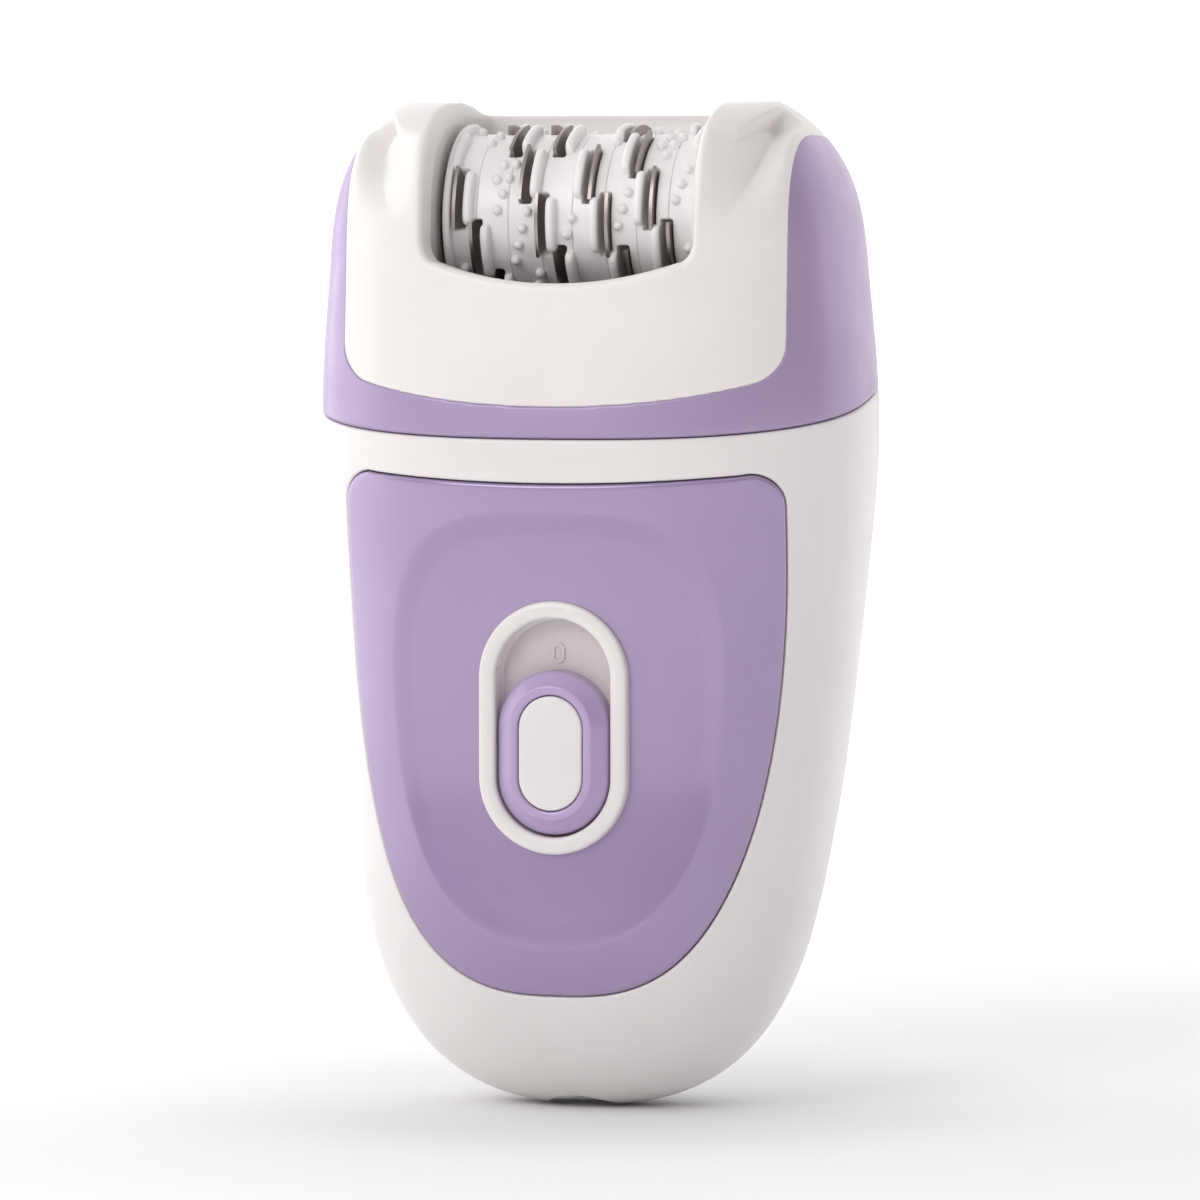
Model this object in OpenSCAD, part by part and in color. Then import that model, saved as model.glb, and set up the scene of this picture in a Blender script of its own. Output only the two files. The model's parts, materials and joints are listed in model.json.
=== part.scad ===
// Thumb-switch epilator with a supply socket in its foot: handle, lift-off
// tweezer head and removable guard cap. Millimetres. Z runs up the handle,
// the thumb side faces -Y, the drum turns about X.

/* [Body] */
// Overall height
body_h = 118; // [114:1:122]
// Shell wall thickness
wall = 2.2; // [1.8:0.1:2.6]
// Height of the seam between head and handle at mid depth
seam_z = 83.1; // [82:0.5:84]
// Rise of the seam per millimetre toward the back
seam_tilt = 0.2; // [0.16:0.02:0.22]
// Points round each shell section
ring_n = 52; // [40:4:60]

/* [Panel] */
// Half width of the coloured front panel
panel_w = 26.7; // [26.4:0.1:27]
// Lowest point of the panel
panel_z0 = 13.9; // [13.5:0.1:14.2]
// Top edge of the panel at the front centre
panel_z1 = 73.6; // [72:0.5:74]

/* [Switch] */
// Height of the switch centre
switch_z = 45.3; // [45:0.1:45.6]
// Bezel outer width
bezel_w = 17.9; // [17.8:0.1:18.2]
// Bezel outer height
bezel_h = 29.5; // [29.4:0.1:29.9]
// Bezel ring width
bezel_ring = 2; // [1.9:0.05:2]
// Slider travel from off to the fast setting
slide_travel = 5.4; // [5:0.2:5.4]

/* [Drum] */
// Height of the drum axis
drum_z = 104.2; // [104:0.1:104.4]
// Depth position of the drum axis
drum_y = -1.5; // [-1.8:0.1:-1.2]
// Radius of the drum surface
drum_r = 10; // [9.8:0.1:10.1]
// Outer radius of the fins
fin_r = 11.3; // [11.2:0.1:11.4]
// Axial travel of the steel plates
pinch = 0.85; // [0.7:0.05:0.85]

/* [Hidden] */
in_r = 1.5;
// rows every 20 mm of height: half width, front, back, centre, squareness
stations = [
  [25.9, 18.6, 12.6, -4.6, 2.2],
  [26.7, 19.6, 16.8, -3.9, 2.4],
  [29.5, 20.0, 20.2, -1.4, 2.4],
  [31.6, 20.7, 21.2, 0.2, 2.4],
  [33.0, 21.2, 21.2, 0.2, 2.6],
  [31.4, 19.6, 20.0, -0.8, 3.0],
  [29.8, 18.8, 19.0, -2.6, 3.2]
];
station_h = 20;
last = len(stations) - 1;
cap_x = 26.9;
corner_r = 3.5;
panel_t = 1.25;
panel_bow = 0.0021;
band_h = 3.6;
gap = 0.15;
mod = 0.8;
n_drum = 20;
n_head = 18;
n_small = 16;
n_big = 30;
n_pinion = 10;
head_z = drum_z - mod * (n_drum + n_head) / 2;
idler_z = head_z - mod * (n_head + n_small) / 2;
motor_y = 3;
pinion_d = mod * (n_big + n_pinion) / 2;
motor_z = idler_z - sqrt(pow(pinion_d, 2) - pow(motor_y - drum_y, 2));
lead = 20.8;
pitch_deg = 36;
hub_n = 8;
hub_l = 3.9;
drum_half = 15.6;
bezel_y = -19.4;
tray_y = -16.9;
button_z = 71;
button_r = 6;
socket_y = -4.5;
socket_z = 1.6;
plug_r = 1.85;
// inner faces of the head's cheeks
inner_x = 25.8;
// motor can
can_r = 11.8;
can_x0 = -17;
can_x1 = 9.9;
// plane where the two handle shells meet
part_y = 5;
// window in the cap
window_x = 16.4;
window_back = 11;
// steel plates stand this far outside their fin
plate_step = 1.6;
plate_t = 0.4;
// round clearance of the cap and of the cradle about the drum
drum_clear = 12.2;
// press rollers
roller_x = 19.3;
roller_z = 95.5;
roller_r = 1.75;

function clamp(v, lo, hi) = min(max(v, lo), hi);
function st(i, k) = stations[clamp(i, 0, last)][k];
function cubic(a, b, c, d, t) =
  (1 + 2 * t) * pow(1 - t, 2) * b + t * pow(1 - t, 2) * (c - a) / 2
  + t * t * (3 - 2 * t) * c + t * t * (t - 1) * (d - b) / 2;
function prof(z, k) =
  let (i = clamp(floor(z / station_h), 0, last - 1), t = z / station_h - i)
  cubic(st(i - 1, k), st(i, k), st(i + 1, k), st(i + 2, k), t);
function foot(z) = pow(1 - pow(clamp(1 - z / 30, 0, 1), 2.5), 1 / 2.5);
function side_round(z) = pow(1 - pow(clamp((z - 98) / 24, 0, 1), 3), 1 / 3);
function front_round(z) = pow(1 - pow(clamp((z - 104) / 14, 0, 1), 2.8), 1 / 2.8);
function back_round(z) = pow(1 - pow(clamp((z - 105) / 13, 0, 1), 2.3), 1 / 2.3);
function spow(v, p) = sign(v) * pow(abs(v), p);
function half_x(z) = prof(z, 0) * foot(z) * side_round(z);
function front_y(z) = (prof(z, 1) + prof(z, 3)) * foot(z) * front_round(z);
function back_y(z) = (prof(z, 2) - prof(z, 3)) * foot(z) * back_round(z);
function section(z, w) = [for (i = [0 : ring_n - 1])
  let (t = 360 * i / ring_n, p = 2 / prof(z, 4), c = cos(t), s = sin(t),
       d = s < 0 ? front_y(z) : back_y(z))
  [max(half_x(z) - w, 0.4) * spow(c, p),
   prof(z, 3) + max(d - w, 0.4) * spow(s, p),
   w + (z / 118) * (body_h - 2 * w)]];
levels = [0.1, 0.8, 2, 4, 7, 11, 16, 22, 30, 38, 46, 54, 62, 70, 78, 84, 90, 96,
          101, 105, 108.5, 111.5, 114, 116, 117.4, 117.95];
function flat(l) = [for (a = l) for (b = a) b];

// Closed solid of the whole outline, shrunk inward by w
module outline(w) {
  m = len(levels);
  pts = flat([for (z = levels) section(z, w)]);
  sides = flat([for (j = [0 : m - 2]) flat([for (i = [0 : ring_n - 1])
    let (a = j * ring_n + i, b = j * ring_n + (i + 1) % ring_n)
    [[a, b + ring_n, b], [a, a + ring_n, b + ring_n]]])]);
  low = [for (i = [0 : ring_n - 1]) i];
  high = [for (i = [ring_n - 1 : -1 : 0]) (m - 1) * ring_n + i];
  polyhedron(points = pts, faces = concat(sides, [low], [high]), convexity = 8);
}

// Forces one clean mesh out of a lofted boolean
module baked() {
  resize([0, 0, 0]) children();
}

// Half space below a plane parallel to the seam
module below(z) {
  multmatrix([[1, 0, 0, 0], [0, 1, 0, 0], [0, seam_tilt, 1, z], [0, 0, 0, 1]])
    translate([-50, -50, -150])
      cube([100, 100, 150]);
}

module rod(x0, x1, r, fn = 48) {
  translate([x0, 0, 0])
    rotate([0, 90, 0])
      cylinder(r = r, h = x1 - x0, $fn = fn);
}

module at_drum() {
  translate([0, drum_y, drum_z])
    children();
}

// Box given by its corners
module box(a, b) {
  translate(a)
    cube(b - a);
}

// Upright slot shape (two round ends) in the XZ plane, from y0 to y1
module slot_y(w, h, y0, y1) {
  translate([0, y1, 0])
    rotate([90, 0, 0]) {
      translate([0, (h - w) / 2, 0])
        cylinder(d = w, h = y1 - y0, $fn = 64);
      translate([0, -(h - w) / 2, 0])
        cylinder(d = w, h = y1 - y0, $fn = 64);
      translate([-w / 2, -(h - w) / 2, 0])
        cube([w, h - w, y1 - y0]);
    }
}

// Involute flank point at radius r for base radius b
function roll(r, b) = sqrt(max(pow(r / b, 2) - 1, 0)) * 180 / PI - acos(min(b / r, 1));
module gear(n, x0, x1, bore, phase) {
  rp = mod * n / 2;
  rb = rp * cos(20);
  ro = rp + 0.9 * mod;
  rr = rp - 1.15 * mod;
  rs = max(rb, rr);
  half = 90 / n - 0.075 / rp * 180 / PI;
  function ang(r) = half + roll(rp, rb) - roll(r, rb);
  radii = [rs, rs + (ro - rs) * 0.35, rs + (ro - rs) * 0.7, ro];
  tooth = concat([for (r = radii) [r, -ang(r)]],
                 [for (k = [3 : -1 : 0]) [radii[k], ang(radii[k])]]);
  pts = flat([for (i = [0 : n - 1]) concat(
    [[rr, -ang(rs) - 0.4]], tooth, [[rr, ang(rs) + 0.4]]) + [for (j = [0 : 9])
    [0, 360 * i / n + phase]]]);
  rotate([90, 0, 90])
    translate([0, 0, x0])
      difference() {
        linear_extrude(x1 - x0)
          polygon([for (p = pts) [p[0] * cos(p[1]), p[0] * sin(p[1])]]);
        translate([0, 0, -1])
          cylinder(r = bore, h = x1 - x0 + 2, $fn = 48);
      }
}

// Round pin along Y
module pin_y(r, y0, y1) {
  translate([0, y1, 0])
    rotate([90, 0, 0])
      cylinder(r = r, h = y1 - y0, $fn = 40);
}

// ---- handle shells -------------------------------------------------------
function panel_half(z) =
  panel_w * pow(1 - pow(clamp(1 - (z - panel_z0) / 60, 0, 1), 2.6), 0.35);

// Front outline of the panel: curved sides, round top corners, bowed top edge
function panel_side(grow) = [for (s = [0, 0.3, 1.2, 3, 5.5, 9, 14, 21, 30, 41, 52])
  [panel_half(panel_z0 + s) + grow, panel_z0 + s - grow * (1 - s / 60)]];
function panel_corner(grow) = [for (a = [0 : 15 : 90])
  [panel_w - corner_r + (corner_r + grow) * cos(a),
   panel_z1 + 1.2 - corner_r + (corner_r + grow) * sin(a)]];
function panel_top(grow) = [for (x = [20 : -5 : 0])
  [x, panel_z1 + grow + panel_bow * x * x]];
module panel_prism(grow) {
  right = concat(panel_side(grow), panel_corner(grow), panel_top(grow));
  left = [for (i = [len(right) - 2 : -1 : 0]) [-right[i][0], right[i][1]]];
  translate([0, -5, 0])
    rotate([90, 0, 0])
      linear_extrude(30)
        polygon(concat(right, left));
}

// Case screw places across and up
screws = [[-18, 21], [18, 21], [-22.6, 40], [22.6, 40]];

module screw_posts(r, y0, y1) {
  for (p = screws)
    translate([p[0], y1, p[1]])
      rotate([90, 0, 0])
        cylinder(r = r, h = y1 - y0, $fn = 32);
}

module handle_wall() {
  difference() {
    outline(0);
    outline(wall);
    difference() {
      box([-60, -60, -10], [60, 60, 150]);
      below(seam_z - gap);
    }
    socket_recess();
  }
}

// Dished recess in the foot that surrounds the supply socket
module socket_recess() {
  translate([0, -40, -7.2])
    rotate([-90, 0, 0])
      cylinder(r = 8.6, h = 38, $fn = 40);
  translate([0, socket_y, -3])
    cylinder(r = 4.35, h = 9, $fn = 40);
}

module front_shell() {
  color([0.89, 0.875, 0.865])
    baked()
      union() {
        difference() {
          handle_wall();
          box([-60, part_y, -10], [60, 60, 130]);
          difference() {
            panel_prism(gap);
            outline(panel_t + 0.2);
          }
          translate([0, 0, switch_z])
            slot_y(bezel_w - 0.8, bezel_h - 0.8, -30, -10);
        }
        difference() {
          intersection() {
            outline(panel_t + 0.3);
            screw_posts(2.6, -20, part_y - 0.1);
          }
          screw_posts(0.8, -8, 6);
        }
      }
}

module rear_shell() {
  color([0.88, 0.865, 0.855])
    baked()
      union() {
        difference() {
          handle_wall();
          box([-60, -60, -10], [60, part_y + 0.05, 130]);
          translate([0, 30, button_z])
            rotate([90, 0, 0])
              cylinder(r = button_r + 0.25, h = 20, $fn = 40);
          screw_posts(1.9, 8, 40);
        }
        difference() {
          intersection() {
            outline(1);
            screw_posts(3.1, part_y + 0.05, 30);
          }
          screw_posts(1.9, 8, 40);
          screw_posts(1.15, 4, 40);
        }
      }
}

module front_panel() {
  color([0.66, 0.59, 0.74])
    baked()
      difference() {
        intersection() {
          outline(0);
          panel_prism(0);
        }
        outline(panel_t);
        // thumb dish
        translate([0, -22.5, switch_z])
          scale([2.3, 0.35, 2.9])
            sphere(r = 9.3, $fn = 40);
        translate([0, 0, switch_z])
          slot_y(bezel_w + 0.1, bezel_h + 0.1, -30, -10);
      }
}

// ---- switch --------------------------------------------------------------
module switch_bezel() {
  color([0.9, 0.89, 0.885])
    translate([0, 0, switch_z])
      difference() {
        union() {
          slot_y(bezel_w, bezel_h, bezel_y - 0.7, bezel_y);
          slot_y(bezel_w - 1.3, bezel_h - 1.3, bezel_y - 0.2, tray_y);
        }
        slot_y(bezel_w - 2 * bezel_ring, bezel_h - 2 * bezel_ring, -30, 0);
      }
}

module switch_tray() {
  color([0.87, 0.86, 0.855])
    translate([0, 0, switch_z]) {
      difference() {
        slot_y(bezel_w - 1.4, bezel_h - 1.4, tray_y + 0.02, tray_y + 1.22);
        translate([0, 0, slider_z + slide_travel / 2 - switch_z])
          slot_y(4.2, 4.2 + slide_travel, -30, 0);
      }
      // raised ring that marks the off end
      translate([0, 0, 8.6])
        difference() {
          slot_y(1.5, 2.3, tray_y - 0.18, tray_y + 0.1);
          slot_y(0.9, 1.7, tray_y - 1, tray_y + 0.02);
        }
    }
}

knob_w = 13.4;
knob_h = 19.1;
knob_y = bezel_y - 1.3;
slider_z = switch_z - (bezel_h - 2 * bezel_ring - knob_h) / 2 + 0.3;

module slider_knob() {
  color([0.68, 0.62, 0.76])
    translate([0, 0, slider_z])
      difference() {
        union() {
          slot_y(knob_w, knob_h, knob_y + 0.6, tray_y - 0.3);
          slot_y(knob_w - 1.4, knob_h - 1.4, knob_y, bezel_y);
        }
        slot_y(7.5, 13, bezel_y - 3, knob_y + 0.6);
        pin_y(1, -18.5, 0);
      }
}

module slider_inlay() {
  color([0.9, 0.885, 0.88])
    translate([0, 0, slider_z])
      slot_y(7.4, 12.9, knob_y - 0.2, knob_y + 0.6);
}

module slider_carrier() {
  color([0.3, 0.3, 0.32])
    translate([0, 0, slider_z]) {
      pin_y(1.7, tray_y - 0.3, tray_y + 1.6);
      pin_y(0.98, -18.4, tray_y - 0.2);
      box([-4.5, tray_y + 1.55, -4], [4.5, tray_y + 2.75, 4]);
      box([-1, tray_y + 2.7, -1], [1, -11, 1]);
    }
}

module slide_switch_case() {
  color([0.55, 0.56, 0.58])
    difference() {
      box([-3.6, -11.4, switch_z - 10], [3.6, -7.6, switch_z + 8]);
      box([-1.3, -12, slider_z - 1.4], [1.3, -10.7, slider_z + slide_travel + 1.4]);
    }
}

// ---- electronics ---------------------------------------------------------
board_z0 = 16;
board_z1 = 43.4;

module circuit_board() {
  color([0.16, 0.4, 0.24])
    difference() {
      box([-13, -7.6, board_z0], [13, -6.2, board_z1]);
      for (x = [-10.5, 10.5])
        for (z = [board_z0 + 3, board_z1 - 3])
          translate([x, 0, z])
            rotate([90, 0, 0])
              cylinder(r = 1.15, h = 12, $fn = 24);
    }
}

module board_parts() {
  color([0.2, 0.2, 0.24]) {
    translate([5.5, -6.2, 33])
      rotate([-90, 0, 0])
        cylinder(r = 2.6, h = 7, $fn = 32);
    box([-8, -6.2, 30], [-3, -4.4, 37]);
    box([-3, -6.2, 22], [3, -4.9, 27]);
    box([6, -6.2, 20], [8, -5.3, 21.2]);
    box([-7, -6.2, 18], [-5, -5.3, 19.2]);
  }
}

module board_screws() {
  color([0.72, 0.72, 0.74])
    for (x = [-10.5, 10.5])
      for (z = [board_z0 + 3, board_z1 - 3])
        translate([x, -6.2, z])
          rotate([90, 0, 0]) {
            translate([0, 0, -1.1])
              cylinder(r = 1.9, h = 1.1, $fn = 24);
            cylinder(r = 1, h = 6, $fn = 24);
          }
}

module board_standoffs() {
  color([0.85, 0.84, 0.83])
    for (x = [-10.5, 10.5])
      for (z = [board_z0 + 3, board_z1 - 3])
        translate([x, -7.6, z])
          rotate([90, 0, 0])
            difference() {
              cylinder(r = 2.2, h = 6.4, $fn = 32);
              translate([0, 0, -1])
                cylinder(r = 1.01, h = 6.4, $fn = 24);
            }
}

module dc_socket() {
  color([0.14, 0.14, 0.15])
    translate([0, socket_y, socket_z])
      difference() {
        union() {
          cylinder(r = 4.2, h = 11, $fn = 48);
          translate([-5, -4.5, 5.5])
            cube([10, 9, 8]);
        }
        translate([0, 0, -1])
          cylinder(r = plug_r, h = 11, $fn = 48);
      }
}

module socket_contacts() {
  color([0.8, 0.68, 0.38])
    for (x = [-2.6, 0.6])
      translate([x, socket_y, socket_z + 13.5])
        cube([2, 0.5, 3.5]);
}

// Two leads from the board up past the motor to its terminals
lead_y = -9.9;
module motor_leads() {
  for (s = [-1, 1])
    color(s < 0 ? [0.7, 0.12, 0.1] : [0.12, 0.12, 0.14]) {
      x = -6 - s * 1.2;
      top = motor_z + s * 5;
      translate([x, lead_y, 42.4])
        cylinder(r = 0.6, h = top - 41.8, $fn = 20);
      translate([x, lead_y, 42.4])
        rotate([-90, 0, 0])
          cylinder(r = 0.6, h = -7.6 - lead_y, $fn = 20);
      translate([-24, lead_y, top])
        rotate([0, 90, 0])
          cylinder(r = 0.6, h = 24.6 + x, $fn = 20);
      translate([-24, lead_y, top])
        rotate([-90, 0, 0])
          cylinder(r = 0.6, h = 1.7 - lead_y, $fn = 20);
    }
}

// ---- motor ---------------------------------------------------------------
module at_motor() {
  translate([0, motor_y, motor_z])
    children();
}

module motor_can() {
  color([0.7, 0.71, 0.73])
    at_motor()
      difference() {
        union() {
          rod(can_x0, can_x1, can_r, 64);
          rod(can_x1, can_x1 + 1.5, 3, 48);
        }
        rod(-15.5, 8.6, 10.9, 64);
        rod(-18, -15, 10.2, 64);
        rod(8, 12, 1.05, 48);
        for (y = [-7, 7])
          translate([0, y, 0])
            rod(8, 12, 1.1, 24);
      }
}

module motor_end_bell() {
  color([0.16, 0.16, 0.17])
    at_motor()
      difference() {
        union() {
          rod(-18.6, -17.05, 11.4, 64);
          rod(-20.2, -18.5, 3.4, 48);
          rod(-17.1, -15.6, 10.1, 64);
        }
        rod(-19.6, -10, 1.04, 48);
        for (z = [-5, 5])
          box([-21, -1.3, z - 0.4], [-10, 1.3, z + 0.4]);
      }
}

module motor_terminals() {
  color([0.8, 0.68, 0.38])
    at_motor()
      for (z = [-5, 5])
        box([-24.6, -1.3, z - 0.4], [-15.8, 1.3, z + 0.4]);
}

module motor_armature() {
  color([0.5, 0.38, 0.3])
    at_motor()
      difference() {
        union() {
          for (k = [0 : 2])
            rotate([120 * k, 0, 0]) {
              box([-10, -2, 2], [5, 2, 8]);
              intersection() {
                rod(-10, 5, 9.8, 64);
                box([-10, -7, 7], [5, 7, 11]);
              }
            }
          rod(-13.5, 7.4, 3.6, 48);
        }
        rod(-20, 20, 1, 48);
      }
}

module motor_shaft() {
  color([0.75, 0.76, 0.78])
    at_motor()
      rod(-19.4, 21.6, 1, 48);
}

function mesh_phase(n1, p1, n2, a) =
  a + 180 - (0.5 - (a - p1) * n1 / 360) * 360 / n2;
idler_a = atan2(idler_z - motor_z, drum_y - motor_y);
p_big = mesh_phase(n_pinion, 0, n_big, idler_a);
p_small = 0;
p_head = mesh_phase(n_small, p_small, n_head, 90);
p_drum = mesh_phase(n_head, p_head, n_drum, 90);

module motor_pinion() {
  color([0.82, 0.7, 0.4])
    at_motor()
      gear(n_pinion, 17.2, 21.2, 1, 0);
}

module idler_gear() {
  color([0.9, 0.88, 0.8])
    translate([0, drum_y, idler_z])
      union() {
        gear(n_big, 17.8, 20.6, in_r + 0.05, p_big);
        gear(n_small, 20.6, 24.1, in_r + 0.05, p_small);
      }
}

module idler_axle() {
  color([0.75, 0.76, 0.78])
    translate([0, drum_y, idler_z])
      rod(11.2, 27, in_r, 48);
}

// ---- chassis -------------------------------------------------------------
module chassis() {
  color([0.8, 0.79, 0.76])
    difference() {
      union() {
        box([11.4, -12, 45.5], [13.2, 12.6, 78]);
        box([24.5, -9, 60.5], [26.3, 9, 78]);
        box([11.4, -5, 44], [26.3, 5, 46]);
        box([24.5, -5, 44], [26.3, 5, 61]);
      }
      at_motor()
        rod(10, 15, 3.05, 48);
      at_motor()
        for (y = [-7, 7])
          translate([0, y, 0])
            rod(10, 15, 1.15, 24);
      translate([0, drum_y, idler_z])
        rod(10, 30, in_r, 48);
    }
}

// Plate that closes the handle under the head, with the collar that plugs in
module top_deck() {
  color([0.86, 0.85, 0.84])
    baked()
      difference() {
        union() {
          intersection() {
            outline(wall + gap);
            below(seam_z - 3.4);
          }
          intersection() {
            outline(4.3);
            box([-23, -13.5, 70], [28.1, 15, 90]);
            below(seam_z + 2.2);
          }
          // spring seat behind the release button
          box([-3, 13.9, 67], [3, 15.45, 83]);
        }
        difference() {
          below(seam_z - 5);
          box([-3, 13.9, 67], [3, 15.45, 83]);
        }
        // way through for the big wheel
        box([17.3, -15, 60], [21.1, 12, 90]);
        difference() {
          box([-21.4, -12, 70], [26.9, 13.5, 90]);
          intersection() {
            box([-22, -13, 60], [10.2, 14, 90]);
            below(seam_z - 3.4);
          }
        }
      }
}

module motor_screws() {
  color([0.6, 0.6, 0.62])
    at_motor()
      for (y = [-7, 7])
        translate([0, y, 0]) {
          rod(9, 13.2, 1.05, 24);
          rod(13.2, 14.4, 1.9, 24);
        }
}

module case_screws() {
  color([0.66, 0.66, 0.68])
    for (p = screws)
      translate([p[0], 0, p[1]])
        rotate([90, 0, 0]) {
          translate([0, 0, -8])
            cylinder(r = 0.75, h = 13, $fn = 24);
          translate([0, 0, -9.6])
            cylinder(r = 1.7, h = 1.6, $fn = 24);
        }
}

// ---- head release --------------------------------------------------------
module release_button() {
  color([0.66, 0.59, 0.74])
    difference() {
      union() {
        translate([0, 21.8, button_z])
          rotate([90, 0, 0])
            cylinder(r = button_r, h = 4.2, $fn = 64);
        translate([0, 18.4, button_z])
          rotate([90, 0, 0])
            cylinder(r = button_r + 0.6, h = 1, $fn = 64);
        box([-2.6, 17.2, button_z], [2.6, 18.4, 76.2]);
      }
      translate([0, 27.2, button_z])
        rotate([90, 0, 0])
          cylinder(r1 = 8, r2 = 3, h = 6.2, $fn = 64);
    }
}

module release_spring() {
  color([0.75, 0.76, 0.78])
    translate([0, 17.35, button_z - 2])
      rotate([90, 0, 0])
        difference() {
          cylinder(r = 2, h = 1.9, $fn = 32);
          translate([0, 0, -1])
            cylinder(r = 1.4, h = 6, $fn = 32);
        }
}

// ---- head ----------------------------------------------------------------
module band_top(extra) {
  multmatrix([[1, 0, 0, 0], [0, 1, 0, 0], [0, seam_tilt, 1, seam_z + band_h + extra],
              [0, 0, 0, 1]])
    rotate([90, 0, 0])
      translate([0, 0, -60])
        linear_extrude(120)
          polygon(concat([[-60, -110]], [for (x = [-60 : 5 : 60]) [x, 0.0035 * x * x]],
                         [[60, -110]]));
}

module head_frame() {
  color([0.66, 0.59, 0.74])
    baked()
      difference() {
        union() {
          difference() {
            outline(0);
            box([-cap_x - gap, -40, 0], [cap_x + gap, 40, 130]);
          }
          intersection() {
            outline(0);
            band_top(-gap);
          }
          intersection() {
            outline(wall + gap);
            union() {
              band_top(3.2);
              difference() {
                outline(wall + gap);
                box([-inner_x, -40, 0], [inner_x, 40, 130]);
              }
            }
          }
        }
        below(seam_z + gap);
        intersection() {
          outline(4);
          union() {
            box([-inner_x, -40, 0], [inner_x, 40, 130]);
            box([-28.4, -40, 0], [28.4, 40, 88.4]);
          }
        }
      }
}

module window(grow) {
  hull() {
    box([-window_x - grow, -30, 99.6], [window_x + grow, window_back, 112]);
    box([-11 - grow, -30, 97], [11 + grow, window_back, 112]);
    box([-window_x - grow, -6, 112], [window_x + grow, window_back, 125]);
  }
  hull() {
    box([-window_x - grow, -30, 99.6], [window_x + grow, -4, 111]);
    box([-11.5 - grow, -30, 110], [window_x + grow, 0, 125]);
  }
}

module head_cap() {
  color([0.9, 0.885, 0.88])
    baked()
      difference() {
        union() {
          difference() {
            outline(0);
            outline(wall);
          }
          // cheek walls beside the drum
          difference() {
            intersection() {
              outline(1);
              union() {
                box([-18.6, -40, 95], [-16.6, 40, 125]);
                box([16.6, -40, 95], [18.6, 40, 125]);
              }
            }
            at_drum()
              rod(-20, 20, drum_clear, 40);
            box([-20, drum_y - drum_clear, 80], [20, drum_y + drum_clear, drum_z]);
          }
        }
        band_top(0);
        box([cap_x, -60, 60], [70, 60, 130]);
        box([-70, -60, 60], [-cap_x, 60, 130]);
        window(0);
        // back rim sits lower than the shoulders
        box([-17, -40, body_h - 1.6], [17, 40, 130]);
      }
}

module head_cradle() {
  color([0.84, 0.83, 0.81])
    difference() {
      union() {
        box([-23, -11, 88.4], [23, 11, 90]);
        box([-25.75, -8, 88.4], [25.75, 8, 90]);
      }
      box([20.8, drum_y - 8.3, 85], [27, drum_y + 8.3, 91]);
    }
}

module bearing_left() {
  color([0.84, 0.83, 0.81])
    difference() {
      box([-inner_x, drum_y - 6, 90], [-24.2, drum_y + 6, 109]);
      at_drum()
        rod(-30, -20, in_r + 0.05, 48);
    }
}

module bearing_right() {
  color([0.84, 0.83, 0.81])
    difference() {
      union() {
        box([24.5, drum_y - 6, 84.5], [inner_x, drum_y + 6, 109]);
      }
      at_drum()
        rod(20, 30, in_r + 0.05, 48);
      translate([0, drum_y, head_z])
        rod(10, 30, in_r, 48);
    }
}

module head_axle() {
  color([0.75, 0.76, 0.78])
    translate([0, drum_y, head_z])
      rod(21.3, inner_x, in_r, 48);
}

module head_gear() {
  color([0.9, 0.88, 0.8])
    translate([0, drum_y, head_z])
      gear(n_head, 21.3, 24.2, in_r + 0.05, p_head);
}

module roller_post(s) {
  color([0.75, 0.76, 0.78])
    translate([s * roller_x, drum_y, 0]) {
      box([-1.4, -2.5, 90], [1.4, 2.5, 95.2]);
      translate([0, 0, 95])
        cylinder(r = 0.6, h = 4, $fn = 32);
    }
}

module press_roller(s) {
  color([0.85, 0.82, 0.75])
    translate([s * roller_x, drum_y, roller_z])
      difference() {
        cylinder(r = roller_r, h = 2.6, $fn = 48);
        translate([0, 0, -1])
          cylinder(r = 0.65, h = 5, $fn = 32);
      }
}

module head_screws() {
  color([0.66, 0.66, 0.68])
    for (x = [-21.6, -6, 6])
      for (y = [-8.4, 8.4])
        translate([x, y, 0]) {
          translate([0, 0, 90])
            cylinder(r = 1.7, h = 1.2, $fn = 24);
        }
}

// ---- drum ----------------------------------------------------------------
// Fin chains: x at angle zero of the row, then the angle of the row
chains = [[-12.6, 14.4], [-2.5, -3.6], [2.8, -3.6]];
function fin_side(x) = x < 0 ? -1 : 1;
fins = [for (c = chains) for (k = [-18 : 18])
  let (x = c[0] - lead * k / 10) if (abs(x) < 14.9) [x, c[1] + pitch_deg * k]];

// Arc of a ring about X between two radii
module arc(x, t, r0, r1, mid, span) {
  translate([x, 0, 0])
    rotate([270 - mid - span / 2, 0, 0])
      rotate([0, 90, 0])
        translate([0, 0, -t / 2])
          rotate_extrude(angle = span, $fn = 64)
            translate([r0, 0])
              square([r1 - r0, t]);
}

module hub(i) {
  x0 = -drum_half + i * hub_l;
  x1 = x0 + hub_l;
  color([0.9, 0.89, 0.88])
    at_drum()
      difference() {
        union() {
          rod(x0 + 0.02, x1 - 0.02, drum_r, 64);
          for (f = fins)
            if (f[0] >= x0 && f[0] < x1)
              arc(clamp(f[0], x0 + 0.55, x1 - 0.55), 1, 9.5, fin_r, f[1], 38);
          if (i == 0)
            rod(x0 + 0.02, x0 + 0.9, fin_r - 0.1, 64);
          if (i == hub_n - 1)
            rod(x1 - 0.9, x1 - 0.02, fin_r - 0.1, 64);
        }
        rod(x0 - 1, x1 + 1, 4.65, 48);
        for (f = fins) {
          s = fin_side(f[0]);
          px = f[0] + s * plate_step;
          if (px > x0 - 1.5 && px < x1 + 1.5 && abs(px) < 15)
            arc(px - s * pinch / 2, 0.45 + pinch + 0.16, 4.4, 12, f[1], 43);
        }
      }
}

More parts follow.
